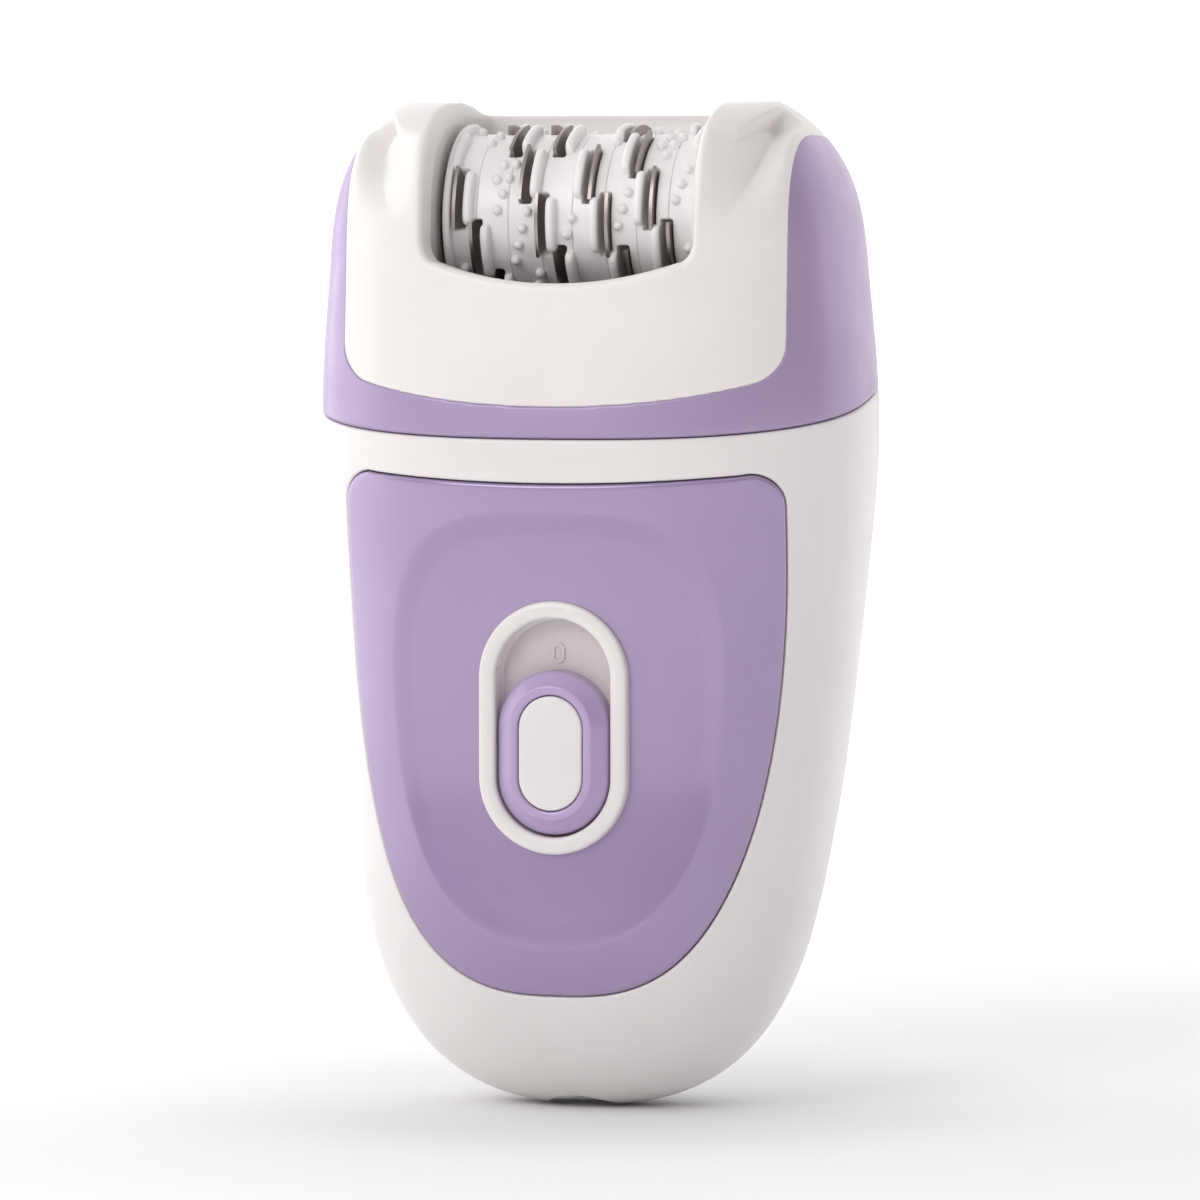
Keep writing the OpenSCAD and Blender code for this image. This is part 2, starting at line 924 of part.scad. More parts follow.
module plates(s) {
  color([0.66, 0.63, 0.61])
    at_drum()
      for (f = fins) {
        px = f[0] + s * plate_step;
        if (fin_side(f[0]) == s && abs(px) < 15)
          arc(px, plate_t, 4.5, fin_r - 0.2, f[1], 40);
      }
}

module sleeve(s) {
  color([0.72, 0.72, 0.74])
    at_drum()
      mirror([s < 0 ? 1 : 0, 0, 0])
        difference() {
          union() {
            rod(1.5, 17.4, 4.5, 48);
            rod(16.6, 17.4, 8.6, 64);
          }
          rod(-1, 18, 2.05, 48);
        }
}

module drum_axle() {
  color([0.75, 0.76, 0.78])
    at_drum() {
      rod(-25.4, 25.4, in_r, 48);
      rod(-21.4, 21.4, 2, 48);
      // web that carries the discs
      rod(-0.5, 0.5, 4.65, 48);
    }
}

module drum_gear() {
  color([0.9, 0.88, 0.8])
    at_drum()
      gear(n_drum, 21.6, 23.6, in_r, p_drum);
}

front_shell();
rear_shell();
front_panel();
switch_bezel();
switch_tray();
slider_knob();
slider_inlay();
slider_carrier();
slide_switch_case();
circuit_board();
board_parts();
board_screws();
board_standoffs();
dc_socket();
socket_contacts();
motor_leads();
motor_can();
motor_end_bell();
motor_terminals();
motor_armature();
motor_shaft();
motor_pinion();
motor_screws();
idler_gear();
idler_axle();
chassis();
top_deck();
case_screws();
release_button();
release_spring();
head_frame();
head_cap();
head_cradle();
bearing_left();
bearing_right();
head_axle();
head_gear();
roller_post(-1);  // roller_post_left
roller_post(1);  // roller_post_right
press_roller(-1);  // press_roller_left
press_roller(1);  // press_roller_right
head_screws();
drum_axle();
drum_gear();
for (i = [0 : hub_n - 1])
  hub(i);
plates(-1);  // plates_left
plates(1);  // plates_right
sleeve(-1);  // sleeve_left
sleeve(1);  // sleeve_right
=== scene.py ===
"""Looks of a thumb-switch epilator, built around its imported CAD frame."""
import json
import math
import bpy
import numpy as np
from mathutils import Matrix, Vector


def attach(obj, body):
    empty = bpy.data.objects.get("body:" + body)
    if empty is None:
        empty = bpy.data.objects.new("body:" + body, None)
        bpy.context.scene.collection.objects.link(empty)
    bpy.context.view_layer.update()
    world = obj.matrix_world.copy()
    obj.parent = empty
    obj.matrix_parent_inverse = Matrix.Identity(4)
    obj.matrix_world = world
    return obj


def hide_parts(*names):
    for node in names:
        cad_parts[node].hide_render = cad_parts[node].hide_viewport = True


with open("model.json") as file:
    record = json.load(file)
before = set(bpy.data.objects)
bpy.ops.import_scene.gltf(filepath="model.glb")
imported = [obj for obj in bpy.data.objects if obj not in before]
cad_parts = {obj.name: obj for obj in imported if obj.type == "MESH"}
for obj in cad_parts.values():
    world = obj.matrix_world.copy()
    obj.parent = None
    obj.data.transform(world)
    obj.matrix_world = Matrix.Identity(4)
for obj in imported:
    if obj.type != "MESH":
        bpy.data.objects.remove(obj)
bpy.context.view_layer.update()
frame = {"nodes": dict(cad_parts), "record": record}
MM = 0.001

# ---- driving sizes, millimetres, measured as in the CAD part ---------------
STATION_H = 20.0
# half width, front, back, centre and squareness every 20 mm of height
STATIONS = np.array([
    [25.9, 18.6, 12.6, -4.6, 2.2],
    [26.7, 19.6, 16.8, -3.9, 2.4],
    [29.5, 20.0, 20.2, -1.4, 2.4],
    [31.6, 20.7, 21.2, 0.2, 2.4],
    [33.0, 21.2, 21.2, 0.2, 2.6],
    [31.4, 19.6, 20.0, -0.8, 3.0],
    [29.8, 18.8, 19.0, -2.6, 3.2]])
# highest point that still has a section, and the crest of the head's arch
TIP, CREST = 117.999, 117.995
# seam between handle and head: height at y 0, slope, side gap, gap along it
SEAM_Z, SEAM_TILT, GAP, SEAM_GAP = 83.1, 0.2, 0.15, 0.06
# lilac band over the seam, and the cap above it
BAND_H, BAND_BOW = 3.6, 0.0035
CAP_X, CAP_CORNER = 26.9, 3.4
# parting plane of the two handle shells, and their wall
PART_Y, WALL = 5.0, 2.2
PANEL_W, PANEL_Z0, PANEL_Z1, PANEL_BOW, CORNER_R = 26.7, 13.9, 73.6, 0.0021, 3.5
SWITCH_Z, BEZEL_W, BEZEL_H, BEZEL_RING, BEZEL_Y = 45.3, 17.9, 29.5, 2.0, -19.8
KNOB_W, KNOB_H, KNOB_Y, INLAY_INSET = 13.4, 19.1, -20.55, 2.875
# window in the cap: sides, rear edge, lowest point and rise of its front edge
WINDOW_L, WINDOW_R, WINDOW_BACK, WINDOW_Z, WINDOW_RISE = -16.4, 16.6, 8.6, 96.9, 3.0
CHEEK_X, CHEEK_WALL_X = 25.85, 16.45
DRUM_Y, DRUM_Z, DRUM_R, DRUM_BORE, DRUM_HALF, DISCS = -1.5, 104.2, 10.0, 4.7, 15.6, 8
# fins climb the drum on a screw line; a plate travels PINCH to meet its fin
FIN_R, FIN_W, FIN_SPAN, LEAD, ROW_DEG, PINCH, PLATE_STEP = 11.3, 1.05, 37.0, 20.8, 36.0, 0.85, 1.6
SLEEVE_DISC_R, SLEEVE_TUBE_R = 8.8, 4.7
BUTTON_Z, BUTTON_R = 71.0, 6.25
SCREWS, SCREW_HOLE_R = ((-18, 21), (18, 21), (-22.6, 40), (22.6, 40)), 1.9
NOTCH_R, NOTCH_LOW = 8.6, 7.2


# ---- outline of the body ---------------------------------------------------
def profile(z, k):
    """Cubic run of column k of STATIONS at height z."""
    i = np.clip((z / STATION_H).astype(int), 0, len(STATIONS) - 2)
    t = z / STATION_H - i
    col = STATIONS[:, k]
    a, b = col[np.maximum(i - 1, 0)], col[i]
    c, d = col[i + 1], col[np.minimum(i + 2, len(col) - 1)]
    return ((1 + 2 * t) * (1 - t) ** 2 * b + t * (1 - t) ** 2 * (c - a) / 2
            + t * t * (3 - 2 * t) * c + t * t * (t - 1) * (d - b) / 2)


def exact_section(z):
    """Section values at height z, with the rounding of the foot and the head."""
    foot = (1 - np.clip(1 - z / 30, 0, 1) ** 2.5) ** 0.4
    side = (1 - np.clip((z - 98) / 24, 0, 1) ** 3) ** (1 / 3)
    front = (1 - np.clip((z - 104) / 14, 0, 1) ** 2.8) ** (1 / 2.8)
    back = np.clip(1 - np.clip((z - 105) / 13, 0, 1) ** 2.3, 0, 1) ** (1 / 2.3)
    c = profile(z, 3)
    return (profile(z, 0) * foot * side, (profile(z, 1) + c) * foot * front,
            (profile(z, 2) - c) * foot * back, c, profile(z, 4))


TABLE_Z = np.concatenate([np.linspace(0, 1, 400, endpoint=False),
                          np.linspace(1, 116, 2400, endpoint=False),
                          np.linspace(116, TIP, 900)])
TABLE = np.array(exact_section(TABLE_Z))


def section(z):
    """Half width, front depth, back depth, centre and squareness at height z."""
    z = np.asarray(z, float)
    return tuple(np.interp(z, TABLE_Z, row) for row in TABLE)


def spow(v, p):
    """Power that keeps the sign of v."""
    return np.sign(v) * np.abs(v) ** p


def at_angle(t, z):
    """Point of the outline at section angle t and height z."""
    a, f, g, c, n = section(z)
    s = np.sin(t)
    return np.stack([a * spow(np.cos(t), 2 / n),
                     c + np.where(s < 0, f, g) * spow(s, 2 / n), z + 0 * t], -1)


def depth_at(x, z, side):
    """y of the outline at (x, z): side -1 is the front, 1 the back."""
    a, f, g, c, n = section(z)
    k = np.clip(1 - (np.abs(x) / np.maximum(a, 1e-6)) ** n, 0, 1) ** (1 / n)
    return c + np.where(side < 0, -f, g) * k


def solid_value(p):
    """1 on the outline, less inside it, more outside it."""
    a, f, g, c, n = section(np.clip(p[..., 2], 0.02, TIP))
    y = p[..., 1] - c
    b = np.maximum(np.where(y < 0, f, g), 0.05)
    return (np.abs(p[..., 0]) / np.maximum(a, 0.05)) ** n + (np.abs(y) / b) ** n


def normals(p):
    """Outward unit normals of the outline near the points p."""
    h = 0.02
    g = np.stack([solid_value(p + np.eye(3)[k] * h) - solid_value(p - np.eye(3)[k] * h)
                  for k in range(3)], -1)
    return g / np.maximum(np.linalg.norm(g, axis=-1, keepdims=True), 1e-9)


def seam_z(y):
    """Height of the tilted seam at depth y."""
    return SEAM_Z + SEAM_TILT * y


def band_z(x, y):
    """Height of the band's bowed upper edge."""
    return seam_z(y) + BAND_H + BAND_BOW * x * x


def fillet(d, r):
    """How far a surface drops at distance d from its rounded edge of radius r."""
    k = np.clip(1 - d / r, 0, 1)
    return r * (1 - np.sqrt(1 - k * k))


def smooth(lo, hi, v):
    """Soft step from 0 at lo to 1 at hi."""
    t = np.clip((v - lo) / (hi - lo), 0, 1)
    return t * t * (3 - 2 * t)


# ---- mesh helpers -----------------------------------------------------------
def new_object(name, verts, faces, material):
    """Smooth-shaded object from points in millimetres."""
    mesh = bpy.data.meshes.new(name)
    mesh.from_pydata([tuple(v) for v in np.asarray(verts) * MM], [], faces)
    mesh.materials.append(material)
    mesh.update()
    mesh.shade_smooth()
    obj = bpy.data.objects.new(name, mesh)
    bpy.context.collection.objects.link(obj)
    return obj


def add_mesh(name, verts, faces, material, body):
    obj = new_object(name, verts, faces, material)
    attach(obj, body)
    return obj


def grid_faces(rows, cols, closed, flip=False):
    """Quads of a grid whose columns may close on themselves."""
    faces = []
    for i in range(rows - 1):
        for j in range(cols if closed else cols - 1):
            k = (j + 1) % cols
            q = [i * cols + j, i * cols + k, (i + 1) * cols + k, (i + 1) * cols + j]
            faces.append(q[::-1] if flip else q)
    return faces


def add_grid(name, p, material, body, closed=True, flip=False):
    rows, cols = p.shape[:2]
    return add_mesh(name, p.reshape(-1, 3), grid_faces(rows, cols, closed, flip),
                    material, body)


def soften(obj, width):
    """Rounds the sharp edges of a part and keeps its flats flat."""
    bevel = obj.modifiers.new("edge_round", "BEVEL")
    bevel.width = width * MM
    bevel.segments = 2
    bevel.limit_method = "ANGLE"
    bevel.angle_limit = math.radians(40)
    for poly in obj.data.polygons:
        poly.use_smooth = True
    weighted = obj.modifiers.new("flat_normals", "WEIGHTED_NORMAL")
    weighted.keep_sharp = True


def stadium(w, h, n=160):
    """Closed upright slot outline in (x, z), evenly spaced, from its right side."""
    r, s = w / 2, (h - w) / 2
    total = 2 * math.pi * r + 4 * s
    out = []
    for u in np.linspace(0, total, n, endpoint=False):
        if u < s:
            out.append((r, u))
        elif u < s + math.pi * r:
            a = (u - s) / r
            out.append((r * math.cos(a), s + r * math.sin(a)))
        elif u < 3 * s + math.pi * r:
            out.append((-r, s - (u - s - math.pi * r)))
        elif u < 3 * s + 2 * math.pi * r:
            a = math.pi + (u - 3 * s - math.pi * r) / r
            out.append((r * math.cos(a), -s + r * math.sin(a)))
        else:
            out.append((r, -s + (u - 3 * s - 2 * math.pi * r)))
    return np.array(out)


def slot_rings(rings, z0, n=160, w=BEZEL_W, h=BEZEL_H):
    """Rings of (inset, y) swept round the slot outline of size w by h."""
    return np.array([[(x, y, z + z0) for x, z in stadium(w - 2 * d, h - 2 * d, n)]
                     for d, y in rings])


def ray_cut(curve, centre, angles):
    """Radius from centre to a star-shaped closed curve at each angle."""
    q = curve - centre
    a = np.unwrap(np.arctan2(q[:, 1], q[:, 0]))
    r = np.hypot(q[:, 0], q[:, 1])
    if a[-1] < a[0]:
        a, r = a[::-1], r[::-1]
    a = np.concatenate([a - 2 * math.pi, a, a + 2 * math.pi])
    r = np.concatenate([r, r, r])
    order = np.argsort(a)
    return np.interp((angles - a[0]) % (2 * math.pi) + a[0] + 2 * math.pi,
                     a[order], r[order])


# ---- materials ----------------------------------------------------------------
def socket(shader, name, value):
    """Constant on the shader's own socket."""
    shader.inputs[name].default_value = value


def base_material(name):
    mat = bpy.data.materials.new(name)
    mat.use_nodes = True
    tree = mat.node_tree
    return mat, tree, tree.nodes["Principled BSDF"]


def noise(tree, scale, detail=3.0):
    """Noise in the object's own coordinates."""
    coord = tree.nodes.new("ShaderNodeTexCoord")
    tex = tree.nodes.new("ShaderNodeTexNoise")
    tex.inputs["Scale"].default_value = scale
    tex.inputs["Detail"].default_value = detail
    tree.links.new(coord.outputs["Object"], tex.inputs["Vector"])
    return tex


def ramp(tree, source, lo, hi, at=(0.3, 0.7)):
    """Colour ramp from lo to hi between the two places in at."""
    node = tree.nodes.new("ShaderNodeValToRGB")
    node.color_ramp.elements[0].position = at[0]
    node.color_ramp.elements[1].position = at[1]
    node.color_ramp.elements[0].color = lo
    node.color_ramp.elements[1].color = hi
    tree.links.new(source, node.inputs["Fac"])
    return node


def grey(v):
    return (v, v, v, 1)


def shade(colour, k):
    return tuple(min(1, c * k) for c in colour) + (1,)


def add_bump(tree, bsdf, height, strength, distance):
    node = tree.nodes.new("ShaderNodeBump")
    node.inputs["Strength"].default_value = strength
    node.inputs["Distance"].default_value = distance
    tree.links.new(height, node.inputs["Height"])
    tree.links.new(node.outputs["Normal"], bsdf.inputs["Normal"])


def plastic(name, colour, rough=0.3, coat=0.0, grain=0.0, metal=0.0, sss=0.0, vary=0.02,
            coat_ior=1.5, coat_rough=0.06):
    """Moulded plastic: slight colour drift, uneven gloss and a fine skin."""
    mat, tree, bsdf = base_material(name)
    drift = noise(tree, 60)
    tint = ramp(tree, drift.outputs["Fac"], shade(colour, 1 - vary), shade(colour, 1 + vary))
    tree.links.new(tint.outputs["Color"], bsdf.inputs["Base Color"])
    wear = noise(tree, 180, 4)
    gloss = ramp(tree, wear.outputs["Fac"], grey(rough * 0.88), grey(rough * 1.14))
    tree.links.new(gloss.outputs["Color"], bsdf.inputs["Roughness"])
    if grain:
        skin = noise(tree, 2500, 2)
        add_bump(tree, bsdf, skin.outputs["Fac"], grain, 0.00002)
    socket(bsdf, "Metallic", metal)
    socket(bsdf, "Coat Weight", coat)
    socket(bsdf, "Coat Roughness", coat_rough)
    socket(bsdf, "Coat IOR", coat_ior)
    socket(bsdf, "IOR", 1.5)
    if sss:
        socket(bsdf, "Subsurface Weight", sss)
        socket(bsdf, "Subsurface Radius", (0.002, 0.0016, 0.0014))
        socket(bsdf, "Subsurface Scale", 0.5)
    return mat


def metal(name, colour, rough=0.28, brush=(40, 40, 2500)):
    """Drawn or ground metal with fine directional marks."""
    mat, tree, bsdf = base_material(name)
    coord = tree.nodes.new("ShaderNodeTexCoord")
    stretch = tree.nodes.new("ShaderNodeMapping")
    stretch.inputs["Scale"].default_value = brush
    tex = tree.nodes.new("ShaderNodeTexNoise")
    tex.inputs["Scale"].default_value = 1.0
    tex.inputs["Detail"].default_value = 4.0
    tree.links.new(coord.outputs["Object"], stretch.inputs["Vector"])
    tree.links.new(stretch.outputs["Vector"], tex.inputs["Vector"])
    tint = ramp(tree, tex.outputs["Fac"], shade(colour, 0.88), shade(colour, 1.08))
    tree.links.new(tint.outputs["Color"], bsdf.inputs["Base Color"])
    gloss = ramp(tree, tex.outputs["Fac"], grey(rough * 0.8), grey(rough * 1.25))
    tree.links.new(gloss.outputs["Color"], bsdf.inputs["Roughness"])
    add_bump(tree, bsdf, tex.outputs["Fac"], 0.25, 0.00001)
    socket(bsdf, "Metallic", 1.0)
    return mat


WHITE, CAP_WHITE = (0.80, 0.765, 0.76), (0.82, 0.785, 0.77)
M = {
    "white_shell": plastic("white_shell", WHITE, 0.32, 0.15, 0.15, sss=0.06),
    "white_cap": plastic("white_cap", CAP_WHITE, 0.34, 0.1, 0.15, sss=0.06),
    "white_wall": plastic("white_wall", CAP_WHITE, 0.34, 0.1, 0.15),
    "white_trim": plastic("white_trim", WHITE, 0.3, 0.15, 0.1, sss=0.05),
    "white_tray": plastic("white_tray", (0.62, 0.58, 0.585), 0.42, 0.0, 0.25),
    "white_inlay": plastic("white_inlay", (0.80, 0.765, 0.765), 0.36, 0.1, 0.15),
    "lilac_panel": plastic("lilac_panel", (0.32, 0.229, 0.424), 0.36, 1.0, 0.0, 0.45,
                           vary=0.01, coat_ior=1.85, coat_rough=0.19),
    "lilac_frame": plastic("lilac_frame", (0.395, 0.31, 0.49), 0.45, 0.3, 0.05, 0.4,
                           vary=0.01),
    "lilac_knob": plastic("lilac_knob", (0.46, 0.36, 0.575), 0.45, 0.5, 0.05, 0.35,
                          vary=0.01),
    "lilac_button": plastic("lilac_button", (0.40, 0.312, 0.50), 0.45, 0.35, 0.05, 0.4,
                            vary=0.01),
    # painted light: the drum's white is set lighter than the shell's white to brighten the drum,
    # which the window shades
    "drum_white": plastic("drum_white", (0.87, 0.85, 0.85), 0.36, 0.1, 0.15, sss=0.05),
    "dark_nylon": plastic("dark_nylon", (0.05, 0.05, 0.055), 0.5, grain=0.4),
    "black_nylon": plastic("black_nylon", (0.018, 0.018, 0.02), 0.45, grain=0.4),
    "inner_abs": plastic("inner_abs", (0.62, 0.60, 0.57), 0.45, grain=0.3),
    "deck_abs": plastic("deck_abs", (0.70, 0.67, 0.65), 0.42, grain=0.3),
    "board_green": plastic("board_green", (0.02, 0.11, 0.045), 0.35, 0.3, 0.3),
    "component_black": plastic("component_black", (0.02, 0.02, 0.022), 0.4, grain=0.3),
    "lead_pvc": plastic("lead_pvc", (0.30, 0.02, 0.02), 0.4, grain=0.1),
    "gear_acetal": plastic("gear_acetal", (0.78, 0.74, 0.62), 0.38, grain=0.15, sss=0.05),
    "screw_steel": metal("screw_steel", (0.52, 0.52, 0.54)),
    "tinned_steel": metal("tinned_steel", (0.58, 0.59, 0.61), 0.34),
    "contact_brass": metal("contact_brass", (0.62, 0.46, 0.17), 0.25),
    "motor_steel": metal("motor_steel", (0.50, 0.51, 0.53), 0.35, (40, 2500, 2500)),
    "copper_core": metal("copper_core", (0.45, 0.17, 0.07), 0.35),
    "polished_steel": metal("polished_steel", (0.60, 0.61, 0.63), 0.2, (40, 2500, 2500)),
    "spring_steel": metal("spring_steel", (0.5, 0.51, 0.53), 0.25),
    "gear_brass": metal("gear_brass", (0.66, 0.48, 0.18), 0.28),
    "tweezer_steel": metal("tweezer_steel", (0.36, 0.325, 0.31), 0.34, (2500, 60, 60)),
}
for entry in frame["record"]["subparts"]:
    node = frame["nodes"][entry["node"]]
    node.data.materials.clear()
    node.data.materials.append(M[entry["material_slot"]])


# ---- handle shells ------------------------------------------------------------
def part_angle(z):
    """Section angle at which the outline crosses the parting plane."""
    _, _, g, c, n = section(z)
    k = np.clip((PART_Y - c) / np.maximum(g, 0.3), 0, 0.999)
    return np.arcsin(k ** (n / 2))


TOP_T = np.linspace(-math.pi, math.pi, 1441)
TOP_Z = np.full(len(TOP_T), SEAM_Z)
for _ in range(25):
    TOP_Z = TOP_Z + 0.8 * (seam_z(at_angle(TOP_T, TOP_Z)[..., 1]) - SEAM_GAP - TOP_Z)


def handle_top(t):
    """Height of the handle's rim at section angle t."""
    return np.interp((t + math.pi) % (2 * math.pi) - math.pi, TOP_T, TOP_Z)


def foot_notch(p):
    """Lifts the sole over the channel in front of the supply socket."""
    x, y, z = p[..., 0], p[..., 1], p[..., 2]
    roof = -NOTCH_LOW + np.sqrt(np.maximum(NOTCH_R ** 2 - x * x, 0))
    k = smooth(-1.2, -2.6, y)
    p[..., 2] = np.where(np.abs(x) < NOTCH_R, np.maximum(z, roof * k), z)
    return p


def panel_outline():
    """Panel edge in (x, z): right half from the foot up, then mirrored."""
    s = 52 * np.linspace(0, 1, 60) ** 2.2
    side = PANEL_W * (1 - np.clip(1 - s / 60, 0, 1) ** 2.6) ** 0.35
    pts = list(zip(side, PANEL_Z0 + s))
    for a in np.radians(np.linspace(0, 90, 14)):
        pts.append((PANEL_W - CORNER_R + CORNER_R * math.cos(a),
                    PANEL_Z1 + 1.2 - CORNER_R + CORNER_R * math.sin(a)))
    for x in np.linspace(22, 0, 20):
        pts.append((x, PANEL_Z1 + PANEL_BOW * x * x))
    right = np.array(pts)
    left = right[-2:0:-1] * (-1, 1)
    return np.concatenate([right, left])


def even(curve, n):
    """Resamples a closed 2D curve to n points at even spacing."""
    closed = np.concatenate([curve, curve[:1]])
    step = np.r_[0, np.cumsum(np.hypot(*np.diff(closed, axis=0).T))]
    u = np.linspace(0, step[-1], n, endpoint=False)
    return np.stack([np.interp(u, step, closed[:, k]) for k in (0, 1)], -1)


def slid(curve, side, dist):
    """3D points at in-surface distance dist outward from a curve in (x, z)."""
    p = np.stack([curve[:, 0], depth_at(curve[:, 0], curve[:, 1], side), curve[:, 1]], -1)
    tangent = np.roll(p, -1, 0) - np.roll(p, 1, 0)
    out = np.cross(tangent, normals(p))
    out /= np.linalg.norm(out, axis=1, keepdims=True)
    q = p + out * dist
    q[:, 1] = depth_at(q[:, 0], q[:, 2], side)
    return q


PANEL_N = 360
PANEL_CURVE = even(panel_outline(), PANEL_N)


def dish_depth(x, z):
    """Thumb hollow round the switch: steep soft rim, shallow bowl inside."""
    half = 20.2 - 0.09 * np.clip(50 - z, 0, 40)
    n = 3.6 - 1.1 * smooth(52, 32, z)
    rho = ((np.abs(x) / half) ** n + (np.abs(z - 45.0) / 25.4) ** n) ** (1 / n)
    rim = 1 - smooth(0.88, 1.0, rho)
    step = 0.05 + 0.3 * smooth(30, 52, z)
    return step * rim + 1.5 * (1 - np.clip(rho, 0, 1) ** 2.8)


def make_panel():
    """Glossy inset panel with a rolled edge, the thumb hollow and the switch hole."""
    rings = [slid(PANEL_CURVE, -1, 0.0)]
    r, proud = 0.45, 0.08
    rings[0] -= normals(rings[0]) * 1.0
    for a in np.radians([0, 15, 30, 45, 60, 75, 90]):
        q = slid(PANEL_CURVE, -1, -r * (1 - math.cos(a)))
        rings.append(q - normals(q) * (r * (1 - math.sin(a)) - proud))
    inner = slid(PANEL_CURVE, -1, -r)
    hole = stadium(BEZEL_W - 0.3, BEZEL_H - 0.3, PANEL_N)
    centre = np.array([0.0, SWITCH_Z])
    q2 = inner[:, [0, 2]]
    angles = np.arctan2(q2[:, 1] - centre[1], q2[:, 0])
    rad = ray_cut(hole, np.zeros(2), angles)
    target = centre + np.stack([np.cos(angles), np.sin(angles)], -1) * rad[:, None]
    for s in np.linspace(0, 1, 72)[1:]:
        m = q2 * (1 - s) + target * s
        y = depth_at(m[:, 0], m[:, 1], -1)
        q = np.stack([m[:, 0], y, m[:, 1]], -1)
        lift = proud - dish_depth(m[:, 0], m[:, 1])
        rings.append(q + normals(q) * lift[:, None])
    last = rings[-1].copy()
    last[:, 1] += 2.0
    rings.append(last)
    obj = add_grid("front_panel_skin", np.array(rings), M["lilac_panel"], "handle")
    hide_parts("front_panel")
    return obj


def front_uv(q):
    """(u, w) place of front points: u across to the parting planes, w up to the seam."""
    z = q[..., 2]
    a, _, _, _, n = section(z)
    t = -np.arccos(np.clip(np.abs(q[..., 0]) / a, 0, 1) ** (n / 2) * np.sign(q[..., 0]))
    u = (t + math.pi / 2) / (math.pi / 2 + part_angle(z))
    w = np.sqrt(z / handle_top(t))
    return np.stack([u, w], -1)


def front_point(u, w):
    """Point of the front shell at the place (u, w) of front_uv."""
    z = 70 * w ** 2
    for _ in range(8):
        t = -math.pi / 2 + u * (math.pi / 2 + part_angle(z))
        z = handle_top(t) * w ** 2
    return foot_notch(at_angle(t, np.maximum(z, 1e-4)))


def shell_edge_drop(p, parting):
    """Rounding toward the seam and the parting line."""
    top = fillet(seam_z(p[..., 1]) - SEAM_GAP - p[..., 2], 0.4)
    side = fillet(parting, 0.25)
    return np.maximum(top, side)


def make_front_shell():
    """Rings that run from the panel's groove out to the seam and the parting planes."""
    q = front_uv(slid(PANEL_CURVE, -1, 0.75))
    centre = np.array([0.0, 0.72])
    corners = np.array([[1, 1], [-1, 1], [-1, 0], [1, 0]], float) - centre
    ca = np.arctan2(corners[:, 1], corners[:, 0])
    angles = np.arctan2(*(q - centre).T[::-1])
    for c in ca:
        angles[np.argmin(np.abs((angles - c + math.pi) % (2 * math.pi) - math.pi))] = c
    direction = np.stack([np.cos(angles), np.sin(angles)], -1)
    lim = np.where(direction > 0, np.array([1, 1]) - centre, np.array([-1, 0]) - centre)
    reach = np.min(lim / np.where(np.abs(direction) < 1e-9, 1e-9, direction)
                   * np.where(np.abs(direction) < 1e-9, 1e9, 1), axis=1)
    outer = centre + direction * reach[:, None]
    rings = []
    deep = slid(PANEL_CURVE, -1, GAP)
    rings.append(deep - normals(deep) * 1.2)
    r = 0.3
    for a in np.radians([0, 22, 45, 67, 90]):
        p = slid(PANEL_CURVE, -1, GAP + r * (1 - math.cos(a)))
        rings.append(p - normals(p) * r * (1 - math.sin(a)))
    ease = np.concatenate([np.linspace(0, 0.97, 46), [0.98, 0.987, 0.992, 0.996, 0.999, 1]])
    for s in ease:
        m = q * (1 - s) + outer * s
        p = front_point(m[:, 0], np.clip(m[:, 1], 0.004, 1))
        drop = shell_edge_drop(p, (1 - np.abs(m[:, 0])) * 45)
        rings.append(p - normals(p) * drop[:, None])
    edge = front_point(outer[:, 0], np.clip(outer[:, 1], 0.004, 1))
    nrm = normals(edge)
    for d, dz in ((1.2, 0), (WALL, 0), (WALL, -2), (WALL, -6)):
        p = edge - nrm * d
        p[:, 2] += dz * (outer[:, 1] > 0.99)
        rings.append(p)
    obj = add_grid("front_shell_skin", np.array(rings), M["white_shell"], "handle", flip=True)
    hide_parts("front_shell")
    return obj


def punch(verts, faces, centre, radius, depth):
    """Cuts a round hole along Y through a back skin and walls it in."""
    verts = np.array(verts)
    d = np.hypot(verts[:, 0] - centre[0], verts[:, 2] - centre[1])
    inside = (d < radius) & (verts[:, 1] > 6)
    kept = [f for f in faces if not any(inside[i] for i in f)]
    used = dict.fromkeys((f[i], f[(i + 1) % 4]) for f in kept for i in range(4))
    rim = {}
    for e in used:
        if (e[1], e[0]) not in used:
            mid = (verts[e[0]] + verts[e[1]]) / 2
            if math.hypot(mid[0] - centre[0], mid[2] - centre[1]) < radius * 1.9 and mid[1] > 6:
                rim[e[0]] = e[1]
    for i in rim:
        v = verts[i]
        k = radius / math.hypot(v[0] - centre[0], v[2] - centre[1])
        x = centre[0] + (v[0] - centre[0]) * k
        z = centre[1] + (v[2] - centre[1]) * k
        verts[i] = (x, depth_at(np.array(x), np.array(z), 1), z)
    verts = verts.tolist()
    first = next(iter(rim))
    loop, i = [first], rim[first]
    while i != first and i in rim and len(loop) < 4000:
        loop.append(i)
        i = rim[i]
    prev = loop
    for k, dy in ((0.97, 0.12), (0.95, 0.5), (0.95, depth)):
        new = []
        for i in loop:
            v = verts[i]
            new.append(len(verts))
            verts.append([centre[0] + (v[0] - centre[0]) * k, v[1] - dy,
                          centre[1] + (v[2] - centre[1]) * k])
        n = len(loop)
        kept += [[prev[j], new[j], new[(j + 1) % n], prev[(j + 1) % n]] for j in range(n)]
        prev = new
    return verts, kept


